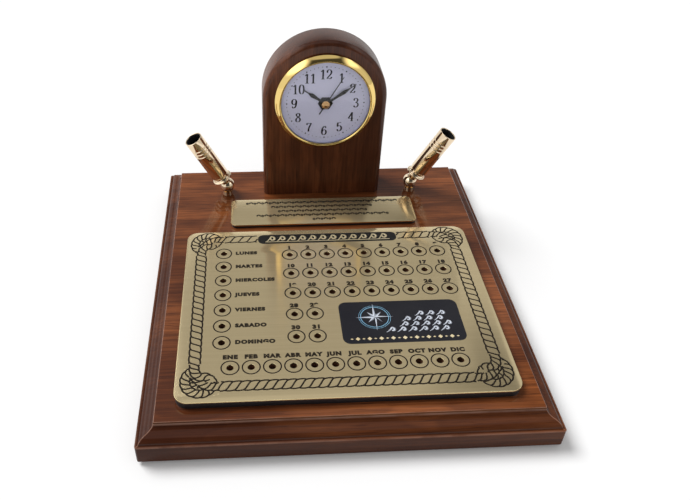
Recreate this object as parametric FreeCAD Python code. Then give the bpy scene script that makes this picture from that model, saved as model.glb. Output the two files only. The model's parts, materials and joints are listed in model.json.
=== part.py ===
import FreeCAD, Part

"""Desk set: a wooden base with a perpetual calendar, a quartz clock in an arched block and two pen holders.

Millimetres, +Z up, front towards -Y, origin on the desk under the middle of the base.
"""
import math
import os

from FreeCAD import Vector

# ---------------------------------------------------------------- base board
BOARD_WIDTH = 246.0
BOARD_DEPTH = 276.0
BOARD_THICKNESS = 22.0
BOARD_CORNER_RADIUS = 2.0
EDGE_RUN = 10.5
EDGE_DROP = 9.0
EDGE_STEP = 1.2
EDGE_LEDGE = 1.8
EDGE_SWELL = 0.9
BOTTOM_ARRIS = 0.8
FOOT_RADIUS = 9.0
FOOT_HEIGHT = 2.0
FOOT_INSET = 26.0

# ---------------------------------------------------------------- calendar plate
CALENDAR_WIDTH = 203.0
CALENDAR_DEPTH = 157.0
CALENDAR_CORNER = 8.0
CALENDAR_FRONT_MARGIN = 8.5
CALENDAR_BRASS = 1.0
CALENDAR_BACKING = 4.5
BACKING_INSET = 0.4
PEG_HOLE_RADIUS = 2.2
PEG_DEPTH_IN_BOARD = 6.0
DATE_PITCH_X = 13.2
DATE_PITCH_Y = 20.0
DATE_FROM_LEFT = 73.1
DATE_FROM_BACK = 28.0
DATE_ROWS = (9, 9, 9, 2, 2)
WEEKDAY_COUNT = 7
WEEKDAY_PITCH = 14.37
WEEKDAY_FROM_LEFT = 26.6
WEEKDAY_FROM_BACK = 25.0
MONTH_COUNT = 12
MONTH_PITCH = 12.62
MONTH_FROM_FRONT = 25.2

# ---------------------------------------------------------------- dedication plate
DEDICATION_WIDTH = 141.0
DEDICATION_DEPTH = 32.8
DEDICATION_CORNER = 4.5
DEDICATION_BRASS = 1.0
DEDICATION_BACKING = 2.0
DEDICATION_GAP = 11.3

# ---------------------------------------------------------------- arched clock block
BLOCK_WIDTH = 92.0
BLOCK_HEIGHT = 127.0
BLOCK_DEPTH = 25.5
BLOCK_FRONT_ROUND = 4.0
BLOCK_BACK_ROUND = 1.0
BLOCK_GAP = 11.2
BLOCK_OFF_CENTRE = 1.5
BORE_RADIUS = 32.5
BORE_DEPTH = 19.0
BLOCK_SCREW_SPAN = 50.0
SCREW_SHANK_RADIUS = 2.0
SCREW_HEAD_RADIUS = 4.0
SCREW_HEAD_HEIGHT = 2.4
SCREW_SLOT = 1.0
SCREW_REACH = 22.0
SCREW_SINK_RADIUS = 4.8
SCREW_SINK_DEPTH = 6.0

# ---------------------------------------------------------------- pen holders
PEN_SPAN = 147.2
PEN_BEHIND_BLOCK_FACE = 5.3
PEN_LEAN = 28.0
PEN_FORWARD_TURN = 12.5
PEN_LEAN_LEAST = -5.0
PEN_LEAN_MOST = 58.0
BALL_RADIUS = 5.7
BALL_WALL = 1.25
BALL_LIFT = 1.0
SEAT_RADIUS = 3.8
SEAT_HEIGHT = 1.8
NECK_RADIUS = 1.1
HEAD_CUT = 1.3
STUD_RADIUS = 2.0
STUD_END_HEIGHT = 5.0
NUT_FLATS = 7.0
NUT_THICKNESS = 3.2
WASHER_RADIUS = 5.6
WASHER_THICKNESS = 0.8
NUT_SINK_RADIUS = 7.0
NUT_SINK_DEPTH = 8.0
STEM_RADIUS = 2.2
COLLAR_LIP_RADIUS = 7.9
COLLAR_NECK_RADIUS = 6.5
COLLAR_BOTTOM = 7.9
COLLAR_WEB = 0.9
COLLAR_WALL = 0.6
COLLAR_LIP_HEIGHT = 1.3
COLLAR_LIP_WALL = 0.8
COLLAR_CHAMFER = 0.5
TUBE_FOOT = 10.3
TUBE_NECK_RADIUS = 6.1
TUBE_RADIUS = 6.9
TUBE_WALL = 0.75
TUBE_FLOOR = 1.6
TUBE_NECK_HEIGHT = 1.2
TUBE_CONE_HEIGHT = 1.4
TUBE_MOUTH = 51.5
TUBE_LIP = 0.35
GROOVE_DEPTH = 0.4
GROOVE_WIDTH = 1.3
GROOVE_PITCH = 3.0
GROOVE_COUNT = 3
GROOVE_FROM_MOUTH = 8.2
LINER_WALL = 0.5
LINER_FLOOR = 1.2
LINER_SETBACK = 0.5

# ---------------------------------------------------------------- fits
RUNNING_FIT = 0.05
PIVOT_FIT = 0.04
LOOSE_FIT = 0.3
PUSH_FIT = 0.05

# ---------------------------------------------------------------- clock insert (depths count towards the viewer)
FLANGE_RADIUS = 35.2
FLANGE_THICKNESS = 1.2
CASE_RADIUS = 31.0
CASE_WALL = 1.5
CASE_LENGTH = 15.6
CASE_BACK_THICKNESS = 1.4
BEZEL_RADIUS = 37.4
BEZEL_OPENING = 32.6
BEZEL_HEIGHT = 5.5
BEZEL_LIP = 0.9
BEZEL_SIDE = 1.65
BEZEL_CREST = 1.2
BEZEL_BULGE_IN = 0.75
BEZEL_BULGE_DOWN = 1.35
BEZEL_INNER_ROUND = 0.3
DIAL_RADIUS = 33.8
DIAL_THICKNESS = 0.5
CHAPTER_WALL = 1.5
CHAPTER_HEIGHT = 1.7
LENS_EDGE = 1.2
LENS_RISE = 5.6
LENS_IN_OPENING = 0.1
LENS_DOME_STEP = 0.3
FIT_RING_WIDTH = 7.0
FIT_RING_FRONT = 4.0
FIT_RING_RIBS = 3
FIT_RING_RIB_START = 0.3
FIT_RING_RIB_END = 0.6
CASE_SCREW_CIRCLE = 27.2
CASE_SCREW_ANGLES = (30.0, 150.0, 270.0)
CASE_BOSS_RADIUS = 2.0
CASE_SCREW_RADIUS = 0.8
CASE_SCREW_HEAD = 1.5
CASE_SCREW_HEAD_HEIGHT = 0.7
CASE_SCREW_SLOT = 0.4

# ---------------------------------------------------------------- movement
PLATE_RADIUS = 25.0
PLATE_THICKNESS = 1.2
PLATE_SPACING = 8.0
PILLAR_CIRCLE = 22.5
PILLAR_RADIUS = 1.6
PILLAR_ANGLES = (60.0, 180.0, 300.0)
LONG_SCREW_RADIUS = 0.7
LONG_SCREW_HEAD = 1.4
LONG_SCREW_HEAD_HEIGHT = 0.8
LONG_SCREW_BITE = 0.9
BUSH_RADIUS = 3.5
BUSH_HEIGHT = 2.2
BUSH_NUT_FLATS = 9.5
BUSH_NUT_THICKNESS = 0.5
WHEEL_THICKNESS = 0.5
PINION_LENGTH = 0.9
PINION_OVERLAP = 0.2
LIGHTENING_HOLES = 5
LIGHTENING_CIRCLE = 0.6
LIGHTENING_RADIUS = 0.2
ARBOR_RADIUS = 0.5
PIVOT_RADIUS = 0.25
PIVOT_LENGTH = 0.7
SECOND_ARBOR_RADIUS = 0.45
CANNON_WALL = 0.8
CANNON_COLLAR_RADIUS = 2.2
CANNON_COLLAR_THICKNESS = 0.4
CLUTCH_GAP = 0.05
HOUR_PIPE_WALL = 0.85
PINION_LEAVES = 6
MOTION_LEAVES = 8
SECOND_TEETH = 40
THIRD_TEETH = 48
CENTRE_TEETH = 45
MINUTE_TEETH = 24
HOUR_TEETH = 32
INTERMEDIATE_TEETH = 36
THIRD_MODULE = 0.34
MINUTE_MODULE = 0.60
SECOND_MODULE = 0.40
ROTOR_MODULE = 0.28
ROTOR_TURN = 153.5
TOOTH_ADDENDUM = 0.80
TOOTH_DEDENDUM = 1.15
TOOTH_ROOT_SHARE = 0.27
TOOTH_TIP_SHARE = 0.09
HOUR_LEVEL = -2.4
MINUTE_LEVEL = -3.6
CENTRE_LEVEL = -5.2
THIRD_LEVEL = -7.2
SECOND_LEVEL = -8.6
INTERMEDIATE_LEVEL = -6.0
MAGNET_RADIUS = 1.7
MAGNET_LENGTH = 1.4
MAGNET_COLLAR_RADIUS = 0.8
STATOR_GAP = 0.4
STATOR_RIM = 1.5
STATOR_THICKNESS = 0.6
STATOR_LEG = 2.4
STATOR_REAR = -7.6
STATOR_SCREW_RADIUS = 0.45
STATOR_SCREW_HEAD = 1.1
STATOR_POST_RADIUS = 1.1
COIL_RADIUS = 1.9
COIL_FLANGE_RADIUS = 2.15
COIL_LENGTH = 12.6
COIL_FLANGE_THICKNESS = 0.6
COIL_HEIGHT = -16.0
COIL_CENTRE = -9.0
CORE_OVERHANG = 2.8
CORE_WIDTH = 2.4
CORE_THICKNESS = 0.6
CIRCUIT_RADIUS = 19.8
CIRCUIT_THICKNESS = 0.8
CIRCUIT_RIGHT_EDGE = 13.0
CHIP_SIDE = 4.4
CHIP_HEIGHT = 1.1
CRYSTAL_RADIUS = 1.0
CRYSTAL_LENGTH = 6.2
CRYSTAL_END_X = -4.0
CRYSTAL_LEAD = 0.3
CRYSTAL_LEAD_PITCH = 0.7
CRYSTAL_LEAD_REACH = 1.6
BOARD_HOLE_GAP = 0.6
CELL_RADIUS = 5.8
CELL_HEIGHT = 5.4
CELL_OFFSET = 15.6
CELL_CAP_HEIGHT = 0.5
CELL_CAP_STEP = 0.7
CELL_EDGE_ROUND = 0.3
WELL_CLEARANCE = 0.25
WELL_WALL = 0.7
WELL_SETBACK = 1.2
BRIDGE_THICKNESS = 0.8
BRIDGE_WALL = 1.0
BRIDGE_CLEARANCE = 0.4
CELL_FRONT = -8.8
CONTACT_WIDTH = 2.4
CONTACT_THICKNESS = 0.3
CONTACT_FOOT = 3.0
CONTACT_BELOW_CAP = 1.0
CELL_CUTOUT_GAP = 0.7
CELL_CUTOUT = 1.1
COVER_RADIUS = 7.3
COVER_THICKNESS = 1.2
COVER_BOSS_RADIUS = 6.6
COVER_LUG_RADIUS = 8.6
COVER_SLOT_WIDTH = 1.6
COVER_TURN = 60.0
COIN_SLOT_SHARE = 0.6
KNOB_RADIUS = 4.0
KNOB_LENGTH = 3.2
KNOB_FLUTES = 12
KNOB_FLUTE_RADIUS = 0.45
KNOB_ARBOR_RADIUS = 0.9

# ---------------------------------------------------------------- hands
HOUR_HAND_LEVEL = 2.5
MINUTE_HAND_LEVEL = 3.35
SECOND_HAND_LEVEL = 4.1
HAND_THICKNESS = 0.2
LEAF_ROOT = 0.3
LEAF_TIP = 0.12
LEAF_MIDDLE = 0.61
LEAF_START = 0.62
LEAF_END = 1.32
HOUR_HAND_LENGTH = 19.2
HOUR_HAND_WIDTH = 3.3
HOUR_HUB_RADIUS = 3.8
MINUTE_HAND_LENGTH = 26.4
MINUTE_HAND_WIDTH = 3.0
MINUTE_HUB_RADIUS = 2.9
SECOND_HAND_LENGTH = 24.8
SECOND_HAND_TAIL = 8.9
SECOND_HAND_WIDTH = 0.9
SECOND_HUB_RADIUS = 1.6
CAP_RADIUS = 3.1
CAP_HEIGHT = 2.0
CAP_RIM = 0.4
SHOWN_HOUR = 10.0
SHOWN_MINUTE = 9.08
SHOWN_SECOND = 5.0

# ---------------------------------------------------------------- derived places
BOARD_TOP = FOOT_HEIGHT + BOARD_THICKNESS
FLAT_FRONT = -BOARD_DEPTH / 2 + EDGE_RUN
CALENDAR_FRONT = FLAT_FRONT + CALENDAR_FRONT_MARGIN
CALENDAR_BACK = CALENDAR_FRONT + CALENDAR_DEPTH
DEDICATION_FRONT = CALENDAR_BACK + DEDICATION_GAP
BLOCK_FACE = DEDICATION_FRONT + DEDICATION_DEPTH + BLOCK_GAP
BLOCK_MIDDLE = BLOCK_FACE + BLOCK_DEPTH / 2
CLOCK_HEIGHT = BOARD_TOP + BLOCK_HEIGHT - BLOCK_WIDTH / 2
PEN_Y = BLOCK_FACE + PEN_BEHIND_BLOCK_FACE
BALL_HEIGHT = BOARD_TOP + BALL_LIFT + BALL_RADIUS

REAR_PLATE = -PLATE_THICKNESS - PLATE_SPACING
CIRCUIT_FRONT = REAR_PLATE - PLATE_THICKNESS
CIRCUIT_REAR = CIRCUIT_FRONT - CIRCUIT_THICKNESS
CASE_REAR = -CASE_LENGTH - CASE_BACK_THICKNESS
COVER_BOSS_TOP = -CASE_LENGTH + 1.3
KNOB_REAR = CASE_REAR
DIAL_FRONT = FLANGE_THICKNESS + DIAL_THICKNESS
LENS_REAR = DIAL_FRONT + CHAPTER_HEIGHT
LENS_RADIUS = DIAL_RADIUS + 0.2
CANNON_BORE = SECOND_ARBOR_RADIUS + RUNNING_FIT
CANNON_RADIUS = CANNON_BORE + CANNON_WALL
HOUR_PIPE_BORE = CANNON_RADIUS + RUNNING_FIT
HOUR_PIPE_RADIUS = HOUR_PIPE_BORE + HOUR_PIPE_WALL
BUSH_BORE = HOUR_PIPE_RADIUS + RUNNING_FIT

THIRD_REACH = THIRD_MODULE * (PINION_LEAVES + THIRD_TEETH) / 2
CENTRE_MODULE = 2 * THIRD_REACH / (PINION_LEAVES + CENTRE_TEETH)
MINUTE_REACH = MINUTE_MODULE * (MOTION_LEAVES + MINUTE_TEETH) / 2
HOUR_MODULE = 2 * MINUTE_REACH / (MOTION_LEAVES + HOUR_TEETH)
INTERMEDIATE_REACH = SECOND_MODULE * (SECOND_TEETH + MOTION_LEAVES) / 2
ROTOR_REACH = ROTOR_MODULE * (INTERMEDIATE_TEETH + PINION_LEAVES) / 2

THIRD_TURN = 0.0
MINUTE_TURN = 270.0
INTERMEDIATE_TURN = 180.0


def around(radius, degrees):
    """Point at a radius and angle in the plane of the movement."""
    angle = math.radians(degrees)
    return radius * math.cos(angle), radius * math.sin(angle)


THIRD_AT = around(THIRD_REACH, THIRD_TURN)
MINUTE_AT = around(MINUTE_REACH, MINUTE_TURN)
INTERMEDIATE_AT = around(INTERMEDIATE_REACH, INTERMEDIATE_TURN)
ROTOR_STEP = around(ROTOR_REACH, ROTOR_TURN)
ROTOR_AT = (INTERMEDIATE_AT[0] + ROTOR_STEP[0], INTERMEDIATE_AT[1] + ROTOR_STEP[1])


# ---------------------------------------------------------------- shape helpers
def box(x0, x1, y0, y1, z0, z1):
    return Part.makeBox(x1 - x0, y1 - y0, z1 - z0, Vector(x0, y0, z0))


def rod(radius, z0, z1, at=(0.0, 0.0)):
    return Part.makeCylinder(radius, z1 - z0, Vector(at[0], at[1], z0))


def pipe(bore, radius, z0, z1, at=(0.0, 0.0)):
    return rod(radius, z0, z1, at).cut(rod(bore, z0 - 1, z1 + 1, at))


def cut_all(shape, tools):
    for tool in tools:
        shape = shape.cut(tool)
    return shape


def join_all(first, others):
    for other in others:
        first = first.fuse(other)
    return first.removeSplitter()


def rounded_plate(width, depth, corner, z0, z1, centre_y):
    plate = box(-width / 2, width / 2, centre_y - depth / 2, centre_y + depth / 2, z0, z1)
    upright = [edge for edge in plate.Edges if abs(edge.BoundBox.ZLength - (z1 - z0)) < 1e-6]
    return plate.makeFillet(corner, upright)


def prism(points, z0, z1):
    corners = [Vector(x, y, z0) for x, y in points]
    outline = Part.makePolygon(corners + corners[:1])
    return Part.Face(outline).extrude(Vector(0, 0, z1 - z0))


def hexagon(flats, z0, z1):
    return prism([around(flats / math.sqrt(3), 60 * step) for step in range(6)], z0, z1)


def turned(outline):
    """Solid of revolution about Z. The outline is a closed list of (radius, z), or of arcs given as triples."""
    edges = []
    here = outline[0]
    for item in list(outline[1:]) + [outline[0]]:
        if isinstance(item[0], tuple):
            middle, end = item
            bow = (Vector(*lift(here)), Vector(*lift(middle)), Vector(*lift(end)))
            edges.append(Part.Arc(*bow).toShape())
            here = end
        else:
            edges.append(Part.makeLine(Vector(*lift(here)), Vector(*lift(item))))
            here = item
    return Part.Face(Part.Wire(edges)).revolve(Vector(0, 0, 0), Vector(0, 0, 1), 360)


def lift(point):
    return point[0], 0.0, point[1]


def moved(shape, x=0.0, y=0.0, z=0.0):
    copy = shape.copy()
    copy.translate(Vector(x, y, z))
    return copy


def spun(shape, degrees, axis=Vector(0, 0, 1)):
    copy = shape.copy()
    copy.rotate(Vector(0, 0, 0), axis, degrees)
    return copy


# ---------------------------------------------------------------- base and plates
def peg_places():
    """Centres of every peg hole: dates, weekdays and months."""
    places = []
    date_x = -CALENDAR_WIDTH / 2 + DATE_FROM_LEFT
    date_y = CALENDAR_BACK - DATE_FROM_BACK
    for row, count in enumerate(DATE_ROWS):
        for column in range(count):
            places.append((date_x + column * DATE_PITCH_X, date_y - row * DATE_PITCH_Y))
    weekday_x = -CALENDAR_WIDTH / 2 + WEEKDAY_FROM_LEFT
    for day in range(WEEKDAY_COUNT):
        places.append((weekday_x, CALENDAR_BACK - WEEKDAY_FROM_BACK - day * WEEKDAY_PITCH))
    first_month = -MONTH_PITCH * (MONTH_COUNT - 1) / 2
    for month in range(MONTH_COUNT):
        places.append((first_month + month * MONTH_PITCH, CALENDAR_FRONT + MONTH_FROM_FRONT))
    return places


def peg_holes(z0, z1):
    return Part.makeCompound([rod(PEG_HOLE_RADIUS, z0, z1, place) for place in peg_places()])


def pen_places():
    return ((-PEN_SPAN / 2, PEN_Y), (PEN_SPAN / 2, PEN_Y))


def block_screw_places():
    return tuple((BLOCK_OFF_CENTRE + side * BLOCK_SCREW_SPAN / 2, BLOCK_MIDDLE) for side in (-1, 1))


def edge_section(width):
    """Cross-section of the board: flat top, small step, ogee, narrow ledge, upright side and a small arris."""
    half = width / 2
    head = Vector(half - EDGE_RUN, 0, BOARD_TOP - EDGE_STEP)
    foot = Vector(half - EDGE_LEDGE, 0, BOARD_TOP - EDGE_DROP)
    middle = (head + foot) / 2
    swell = Vector(head.z - foot.z, 0, foot.x - head.x).normalize() * EDGE_SWELL
    hollow = (head + middle) / 2 - swell
    bulge = (middle + foot) / 2 + swell
    right = [Vector(half - EDGE_RUN, 0, BOARD_TOP), head, hollow, middle, bulge, foot,
             Vector(half, 0, BOARD_TOP - EDGE_DROP), Vector(half, 0, FOOT_HEIGHT + BOTTOM_ARRIS),
             Vector(half - BOTTOM_ARRIS, 0, FOOT_HEIGHT)]
    left = [Vector(-point.x, 0, point.z) for point in right]
    edges = [Part.makeLine(left[0], right[0])]
    for side in (right, left):
        edges.append(Part.makeLine(side[0], side[1]))
        edges.append(Part.Arc(side[1], side[2], side[3]).toShape())
        edges.append(Part.Arc(side[3], side[4], side[5]).toShape())
        edges += [Part.makeLine(first, second) for first, second in zip(side[5:], side[6:])]
    edges.append(Part.makeLine(right[-1], left[-1]))
    return Part.Face(Part.Wire(Part.__sortEdges__(edges)))


def base_board():
    """Board with the same moulded edge on all four sides, mitred at the corners."""
    along = edge_section(BOARD_WIDTH).extrude(Vector(0, BOARD_DEPTH, 0))
    along = moved(along, y=-BOARD_DEPTH / 2)
    across = spun(edge_section(BOARD_DEPTH), 90).extrude(Vector(BOARD_WIDTH, 0, 0))
    across = moved(across, x=-BOARD_WIDTH / 2)
    plan = rounded_plate(BOARD_WIDTH, BOARD_DEPTH, BOARD_CORNER_RADIUS, 0, BOARD_TOP, 0.0)
    board = along.common(across).common(plan)
    tools = [peg_holes(BOARD_TOP - PEG_DEPTH_IN_BOARD, BOARD_TOP + 1)]
    for place in pen_places():
        tools.append(rod(STUD_RADIUS + RUNNING_FIT, 0, BOARD_TOP + 1, place))
        tools.append(rod(NUT_SINK_RADIUS, 0, FOOT_HEIGHT + NUT_SINK_DEPTH, place))
    for place in block_screw_places():
        tools.append(rod(SCREW_SHANK_RADIUS, 0, BOARD_TOP + 1, place))
        tools.append(rod(SCREW_SINK_RADIUS, 0, FOOT_HEIGHT + SCREW_SINK_DEPTH, place))
    return cut_all(board, tools)


def felt_feet():
    feet = []
    for side in (-1, 1):
        for end in (-1, 1):
            place = (side * (BOARD_WIDTH / 2 - FOOT_INSET), end * (BOARD_DEPTH / 2 - FOOT_INSET))
            feet.append(rod(FOOT_RADIUS, 0, FOOT_HEIGHT, place))
    return Part.makeCompound(feet)


def calendar_backing():
    middle = (CALENDAR_FRONT + CALENDAR_BACK) / 2
    top = BOARD_TOP + CALENDAR_BACKING
    width = CALENDAR_WIDTH - 2 * BACKING_INSET
    depth = CALENDAR_DEPTH - 2 * BACKING_INSET
    backing = rounded_plate(width, depth, CALENDAR_CORNER - BACKING_INSET, BOARD_TOP, top, middle)
    return backing.cut(peg_holes(BOARD_TOP - 1, top + 1))


def calendar_plate():
    middle = (CALENDAR_FRONT + CALENDAR_BACK) / 2
    bottom = BOARD_TOP + CALENDAR_BACKING
    top = bottom + CALENDAR_BRASS
    plate = rounded_plate(CALENDAR_WIDTH, CALENDAR_DEPTH, CALENDAR_CORNER, bottom, top, middle)
    return plate.cut(peg_holes(bottom - 1, top + 1))


def dedication_backing():
    middle = DEDICATION_FRONT + DEDICATION_DEPTH / 2
    top = BOARD_TOP + DEDICATION_BACKING
    width = DEDICATION_WIDTH - 2 * BACKING_INSET
    depth = DEDICATION_DEPTH - 2 * BACKING_INSET
    return rounded_plate(width, depth, DEDICATION_CORNER - BACKING_INSET, BOARD_TOP, top, middle)


def dedication_plate():
    middle = DEDICATION_FRONT + DEDICATION_DEPTH / 2
    bottom = BOARD_TOP + DEDICATION_BACKING
    top = bottom + DEDICATION_BRASS
    return rounded_plate(DEDICATION_WIDTH, DEDICATION_DEPTH, DEDICATION_CORNER, bottom, top, middle)


# ---------------------------------------------------------------- clock block
def clock_arch():
    half = BLOCK_WIDTH / 2
    spring = CLOCK_HEIGHT
    left = Vector(BLOCK_OFF_CENTRE - half, BLOCK_FACE, BOARD_TOP)
    right = Vector(BLOCK_OFF_CENTRE + half, BLOCK_FACE, BOARD_TOP)
    left_spring = Vector(BLOCK_OFF_CENTRE - half, BLOCK_FACE, spring)
    right_spring = Vector(BLOCK_OFF_CENTRE + half, BLOCK_FACE, spring)
    crown = Vector(BLOCK_OFF_CENTRE, BLOCK_FACE, spring + half)
    sides = [Part.makeLine(left, right), Part.makeLine(right, right_spring)]
    bow = Part.Arc(right_spring, crown, left_spring).toShape()
    outline = Part.Wire(sides + [bow, Part.makeLine(left_spring, left)])
    block = Part.Face(outline).extrude(Vector(0, BLOCK_DEPTH, 0))
    block = block.makeFillet(BLOCK_FRONT_ROUND, face_rim(block, BLOCK_FACE))
    block = block.makeFillet(BLOCK_BACK_ROUND, face_rim(block, BLOCK_FACE + BLOCK_DEPTH))
    bore = seated(rod(BORE_RADIUS, -BORE_DEPTH, 1))
    pilots = [rod(SCREW_SHANK_RADIUS, BOARD_TOP - 1, BOARD_TOP + SCREW_REACH, place)
              for place in block_screw_places()]
    return cut_all(block, [bore] + pilots)


def face_rim(block, y):
    """Edges of the arched outline on one face, without the bottom edge."""
    rim = []
    for edge in block.Edges:
        bounds = edge.BoundBox
        on_face = bounds.YLength < 0.01 and abs(bounds.YMin - y) < 0.01
        if on_face and bounds.ZMax > BOARD_TOP + 1:
            rim.append(edge)
    return rim


def arch_screws():
    screws = []
    head_top = FOOT_HEIGHT + SCREW_SINK_DEPTH
    for place in block_screw_places():
        head = rod(SCREW_HEAD_RADIUS, head_top - SCREW_HEAD_HEIGHT, head_top, place)
        shank = rod(SCREW_SHANK_RADIUS, head_top, BOARD_TOP + SCREW_REACH, place)
        slot = screw_slot(SCREW_HEAD_RADIUS, SCREW_SLOT, head_top - SCREW_HEAD_HEIGHT, SCREW_HEAD_HEIGHT / 2, place)
        screws.append(head.fuse(shank).cut(slot))
    return Part.makeCompound(screws)


def screw_slot(head_radius, width, head_end, depth, at):
    """Slot across a screw head whose free end faces down or to the rear."""
    return box(at[0] - head_radius, at[0] + head_radius, at[1] - width / 2, at[1] + width / 2,
               head_end - 1, head_end + depth)


def seated(shape):
    """Turn a clock piece from its own frame (Z towards the viewer) into its place in the block."""
    return moved(spun(shape, 90, Vector(1, 0, 0)), x=BLOCK_OFF_CENTRE, y=BLOCK_FACE, z=CLOCK_HEIGHT)


# ---------------------------------------------------------------- clock insert shells
def insert_case():
    rear = -CASE_LENGTH
    inner = CASE_RADIUS - CASE_WALL
    case = join_all(rod(FLANGE_RADIUS, 0, FLANGE_THICKNESS), [pipe(inner, CASE_RADIUS, rear, 0.1)])
    bosses = []
    holes = [rod(BUSH_RADIUS, -1, FLANGE_THICKNESS + 1)]
    for place in case_screw_places():
        bosses.append(rod(CASE_BOSS_RADIUS, rear, 0.1, place))
        holes.append(rod(CASE_SCREW_RADIUS, rear - 1, rear + CASE_LENGTH / 2, place))
    for place in pillar_places():
        holes.append(rod(LONG_SCREW_RADIUS, -1, LONG_SCREW_BITE, place))
    return cut_all(join_all(case, bosses), holes)


def case_screw_places():
    return [around(CASE_SCREW_CIRCLE, angle) for angle in CASE_SCREW_ANGLES]


def pillar_places():
    return [around(PILLAR_CIRCLE, angle) for angle in PILLAR_ANGLES]


def fit_ring():
    """Rubber band round the case; its ribs grip the bore in the wood."""
    front = -FIT_RING_FRONT
    tip = BORE_RADIUS - PUSH_FIT
    valley = (tip + CASE_RADIUS) / 2
    pitch = FIT_RING_WIDTH / FIT_RING_RIBS
    outline = [(CASE_RADIUS, front), (valley, front)]
    for rib in range(FIT_RING_RIBS):
        start = front - rib * pitch
        outline += [(tip, start - pitch * FIT_RING_RIB_START), (tip, start - pitch * FIT_RING_RIB_END)]
        outline.append((valley, start - pitch))
    outline.append((CASE_RADIUS, front - FIT_RING_WIDTH))
    return turned(outline)


def bezel():
    """Ring with an upright side, a rounded front and a lip over the edge of the lens."""
    lip = BEZEL_HEIGHT - BEZEL_LIP
    bore = LENS_RADIUS + PUSH_FIT
    bulge = (BEZEL_RADIUS - BEZEL_BULGE_IN, BEZEL_HEIGHT - BEZEL_BULGE_DOWN)
    inner_round = (BEZEL_OPENING + BEZEL_INNER_ROUND, BEZEL_HEIGHT - BEZEL_INNER_ROUND)
    outline = [
        (FLANGE_RADIUS + PUSH_FIT, 0),
        (BEZEL_RADIUS, 0),
        (BEZEL_RADIUS, BEZEL_SIDE),
        (bulge, (BEZEL_OPENING + BEZEL_CREST, BEZEL_HEIGHT)),
        (inner_round, (BEZEL_OPENING, lip)),
        (bore, lip),
        (bore, FLANGE_THICKNESS),
        (FLANGE_RADIUS + PUSH_FIT, FLANGE_THICKNESS),
    ]
    return turned(outline)


def lens():
    """Domed lens: a flat edge held under the bezel lip and an even dome."""
    front = LENS_REAR + LENS_EDGE
    rim = BEZEL_OPENING - LENS_IN_OPENING
    inner_rim = rim - LENS_DOME_STEP
    inner_top = LENS_REAR + LENS_RISE
    outer_top = inner_top + LENS_EDGE
    outline = [
        (0, inner_top),
        ((inner_rim * 0.5, dome_height(LENS_REAR, LENS_RISE, inner_rim, 0.5)), (inner_rim, LENS_REAR)),
        (LENS_RADIUS, LENS_REAR),
        (LENS_RADIUS, front),
        (rim, front),
        ((rim * 0.5, dome_height(front, outer_top - front, rim, 0.5)), (0, outer_top)),
    ]
    return turned(outline)


def dome_height(edge_level, rise, radius, share):
    """Height of a spherical dome at a share of its radius."""
    sphere = (radius ** 2 + rise ** 2) / (2 * rise)
    drop = sphere - math.sqrt(sphere ** 2 - (radius * share) ** 2)
    return edge_level + rise - drop


def dial():
    return pipe(BUSH_RADIUS, DIAL_RADIUS, FLANGE_THICKNESS, DIAL_FRONT)


def chapter_ring():
    return pipe(DIAL_RADIUS - CHAPTER_WALL, DIAL_RADIUS, DIAL_FRONT, LENS_REAR)


def case_back():
    """Rear lid: holes for the cover and the knob, and a bridge over the cover's lugs that carries the cell's well."""
    front = -CASE_LENGTH
    cell_at = (0, CELL_OFFSET)
    well_bore = CELL_RADIUS + WELL_CLEARANCE
    bridge_bore = COVER_LUG_RADIUS + BRIDGE_CLEARANCE
    bridge_radius = bridge_bore + BRIDGE_WALL
    bridge_front = COVER_BOSS_TOP + BRIDGE_THICKNESS
    well = pipe(well_bore, well_bore + WELL_WALL, COVER_BOSS_TOP, CIRCUIT_REAR - WELL_SETBACK, cell_at)
    bridge = pipe(well_bore, bridge_radius, COVER_BOSS_TOP, bridge_front, cell_at)
    stand = pipe(bridge_bore, bridge_radius, front, bridge_front, cell_at)
    notches = lug_strip(COVER_LUG_RADIUS + LOOSE_FIT, COVER_SLOT_WIDTH + LOOSE_FIT, CASE_REAR - 1, front + 1,
                        -COVER_TURN)
    holes = [rod(COVER_RADIUS + RUNNING_FIT, CASE_REAR - 1, front + 1, cell_at), notches]
    holes.append(rod(KNOB_RADIUS + LOOSE_FIT, CASE_REAR - 1, front + 1, MINUTE_AT))
    for place in case_screw_places():
        holes.append(rod(CASE_SCREW_RADIUS, CASE_REAR - 1, front + 1, place))
        holes.append(rod(CASE_SCREW_HEAD + RUNNING_FIT, CASE_REAR - 1, CASE_REAR + CASE_SCREW_HEAD_HEIGHT, place))
    back = cut_all(rod(CASE_RADIUS, CASE_REAR, front), holes)
    return join_all(back, [stand, bridge, well])


def lug_strip(radius, half_width, z0, z1, turn=0.0):
    """Bar with round ends across the cover's axis: the two lugs, or the notches that let them through."""
    strip = box(-radius, radius, -half_width, half_width, z0, z1).common(rod(radius, z0, z1))
    return moved(spun(strip, turn), y=CELL_OFFSET)


def battery_cover():
    """Turn-to-lock cover: disc with a coin slot, a boss and two lugs that lock behind the case back."""
    inner = CASE_REAR + COVER_THICKNESS
    at = (0, CELL_OFFSET)
    disc = rod(COVER_RADIUS, CASE_REAR, inner, at)
    lug_rear = -CASE_LENGTH + LOOSE_FIT
    lug_front = COVER_BOSS_TOP - LOOSE_FIT
    boss = rod(COVER_BOSS_RADIUS, inner, lug_front, at)
    lugs = lug_strip(COVER_LUG_RADIUS, COVER_SLOT_WIDTH, lug_rear, lug_front)
    coin_slot = lug_strip(COVER_RADIUS * COIN_SLOT_SHARE, COVER_SLOT_WIDTH / 2, CASE_REAR - 1,
                          CASE_REAR + COVER_THICKNESS / 2)
    return cut_all(join_all(disc, [boss, lugs]), [coin_slot])


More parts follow.
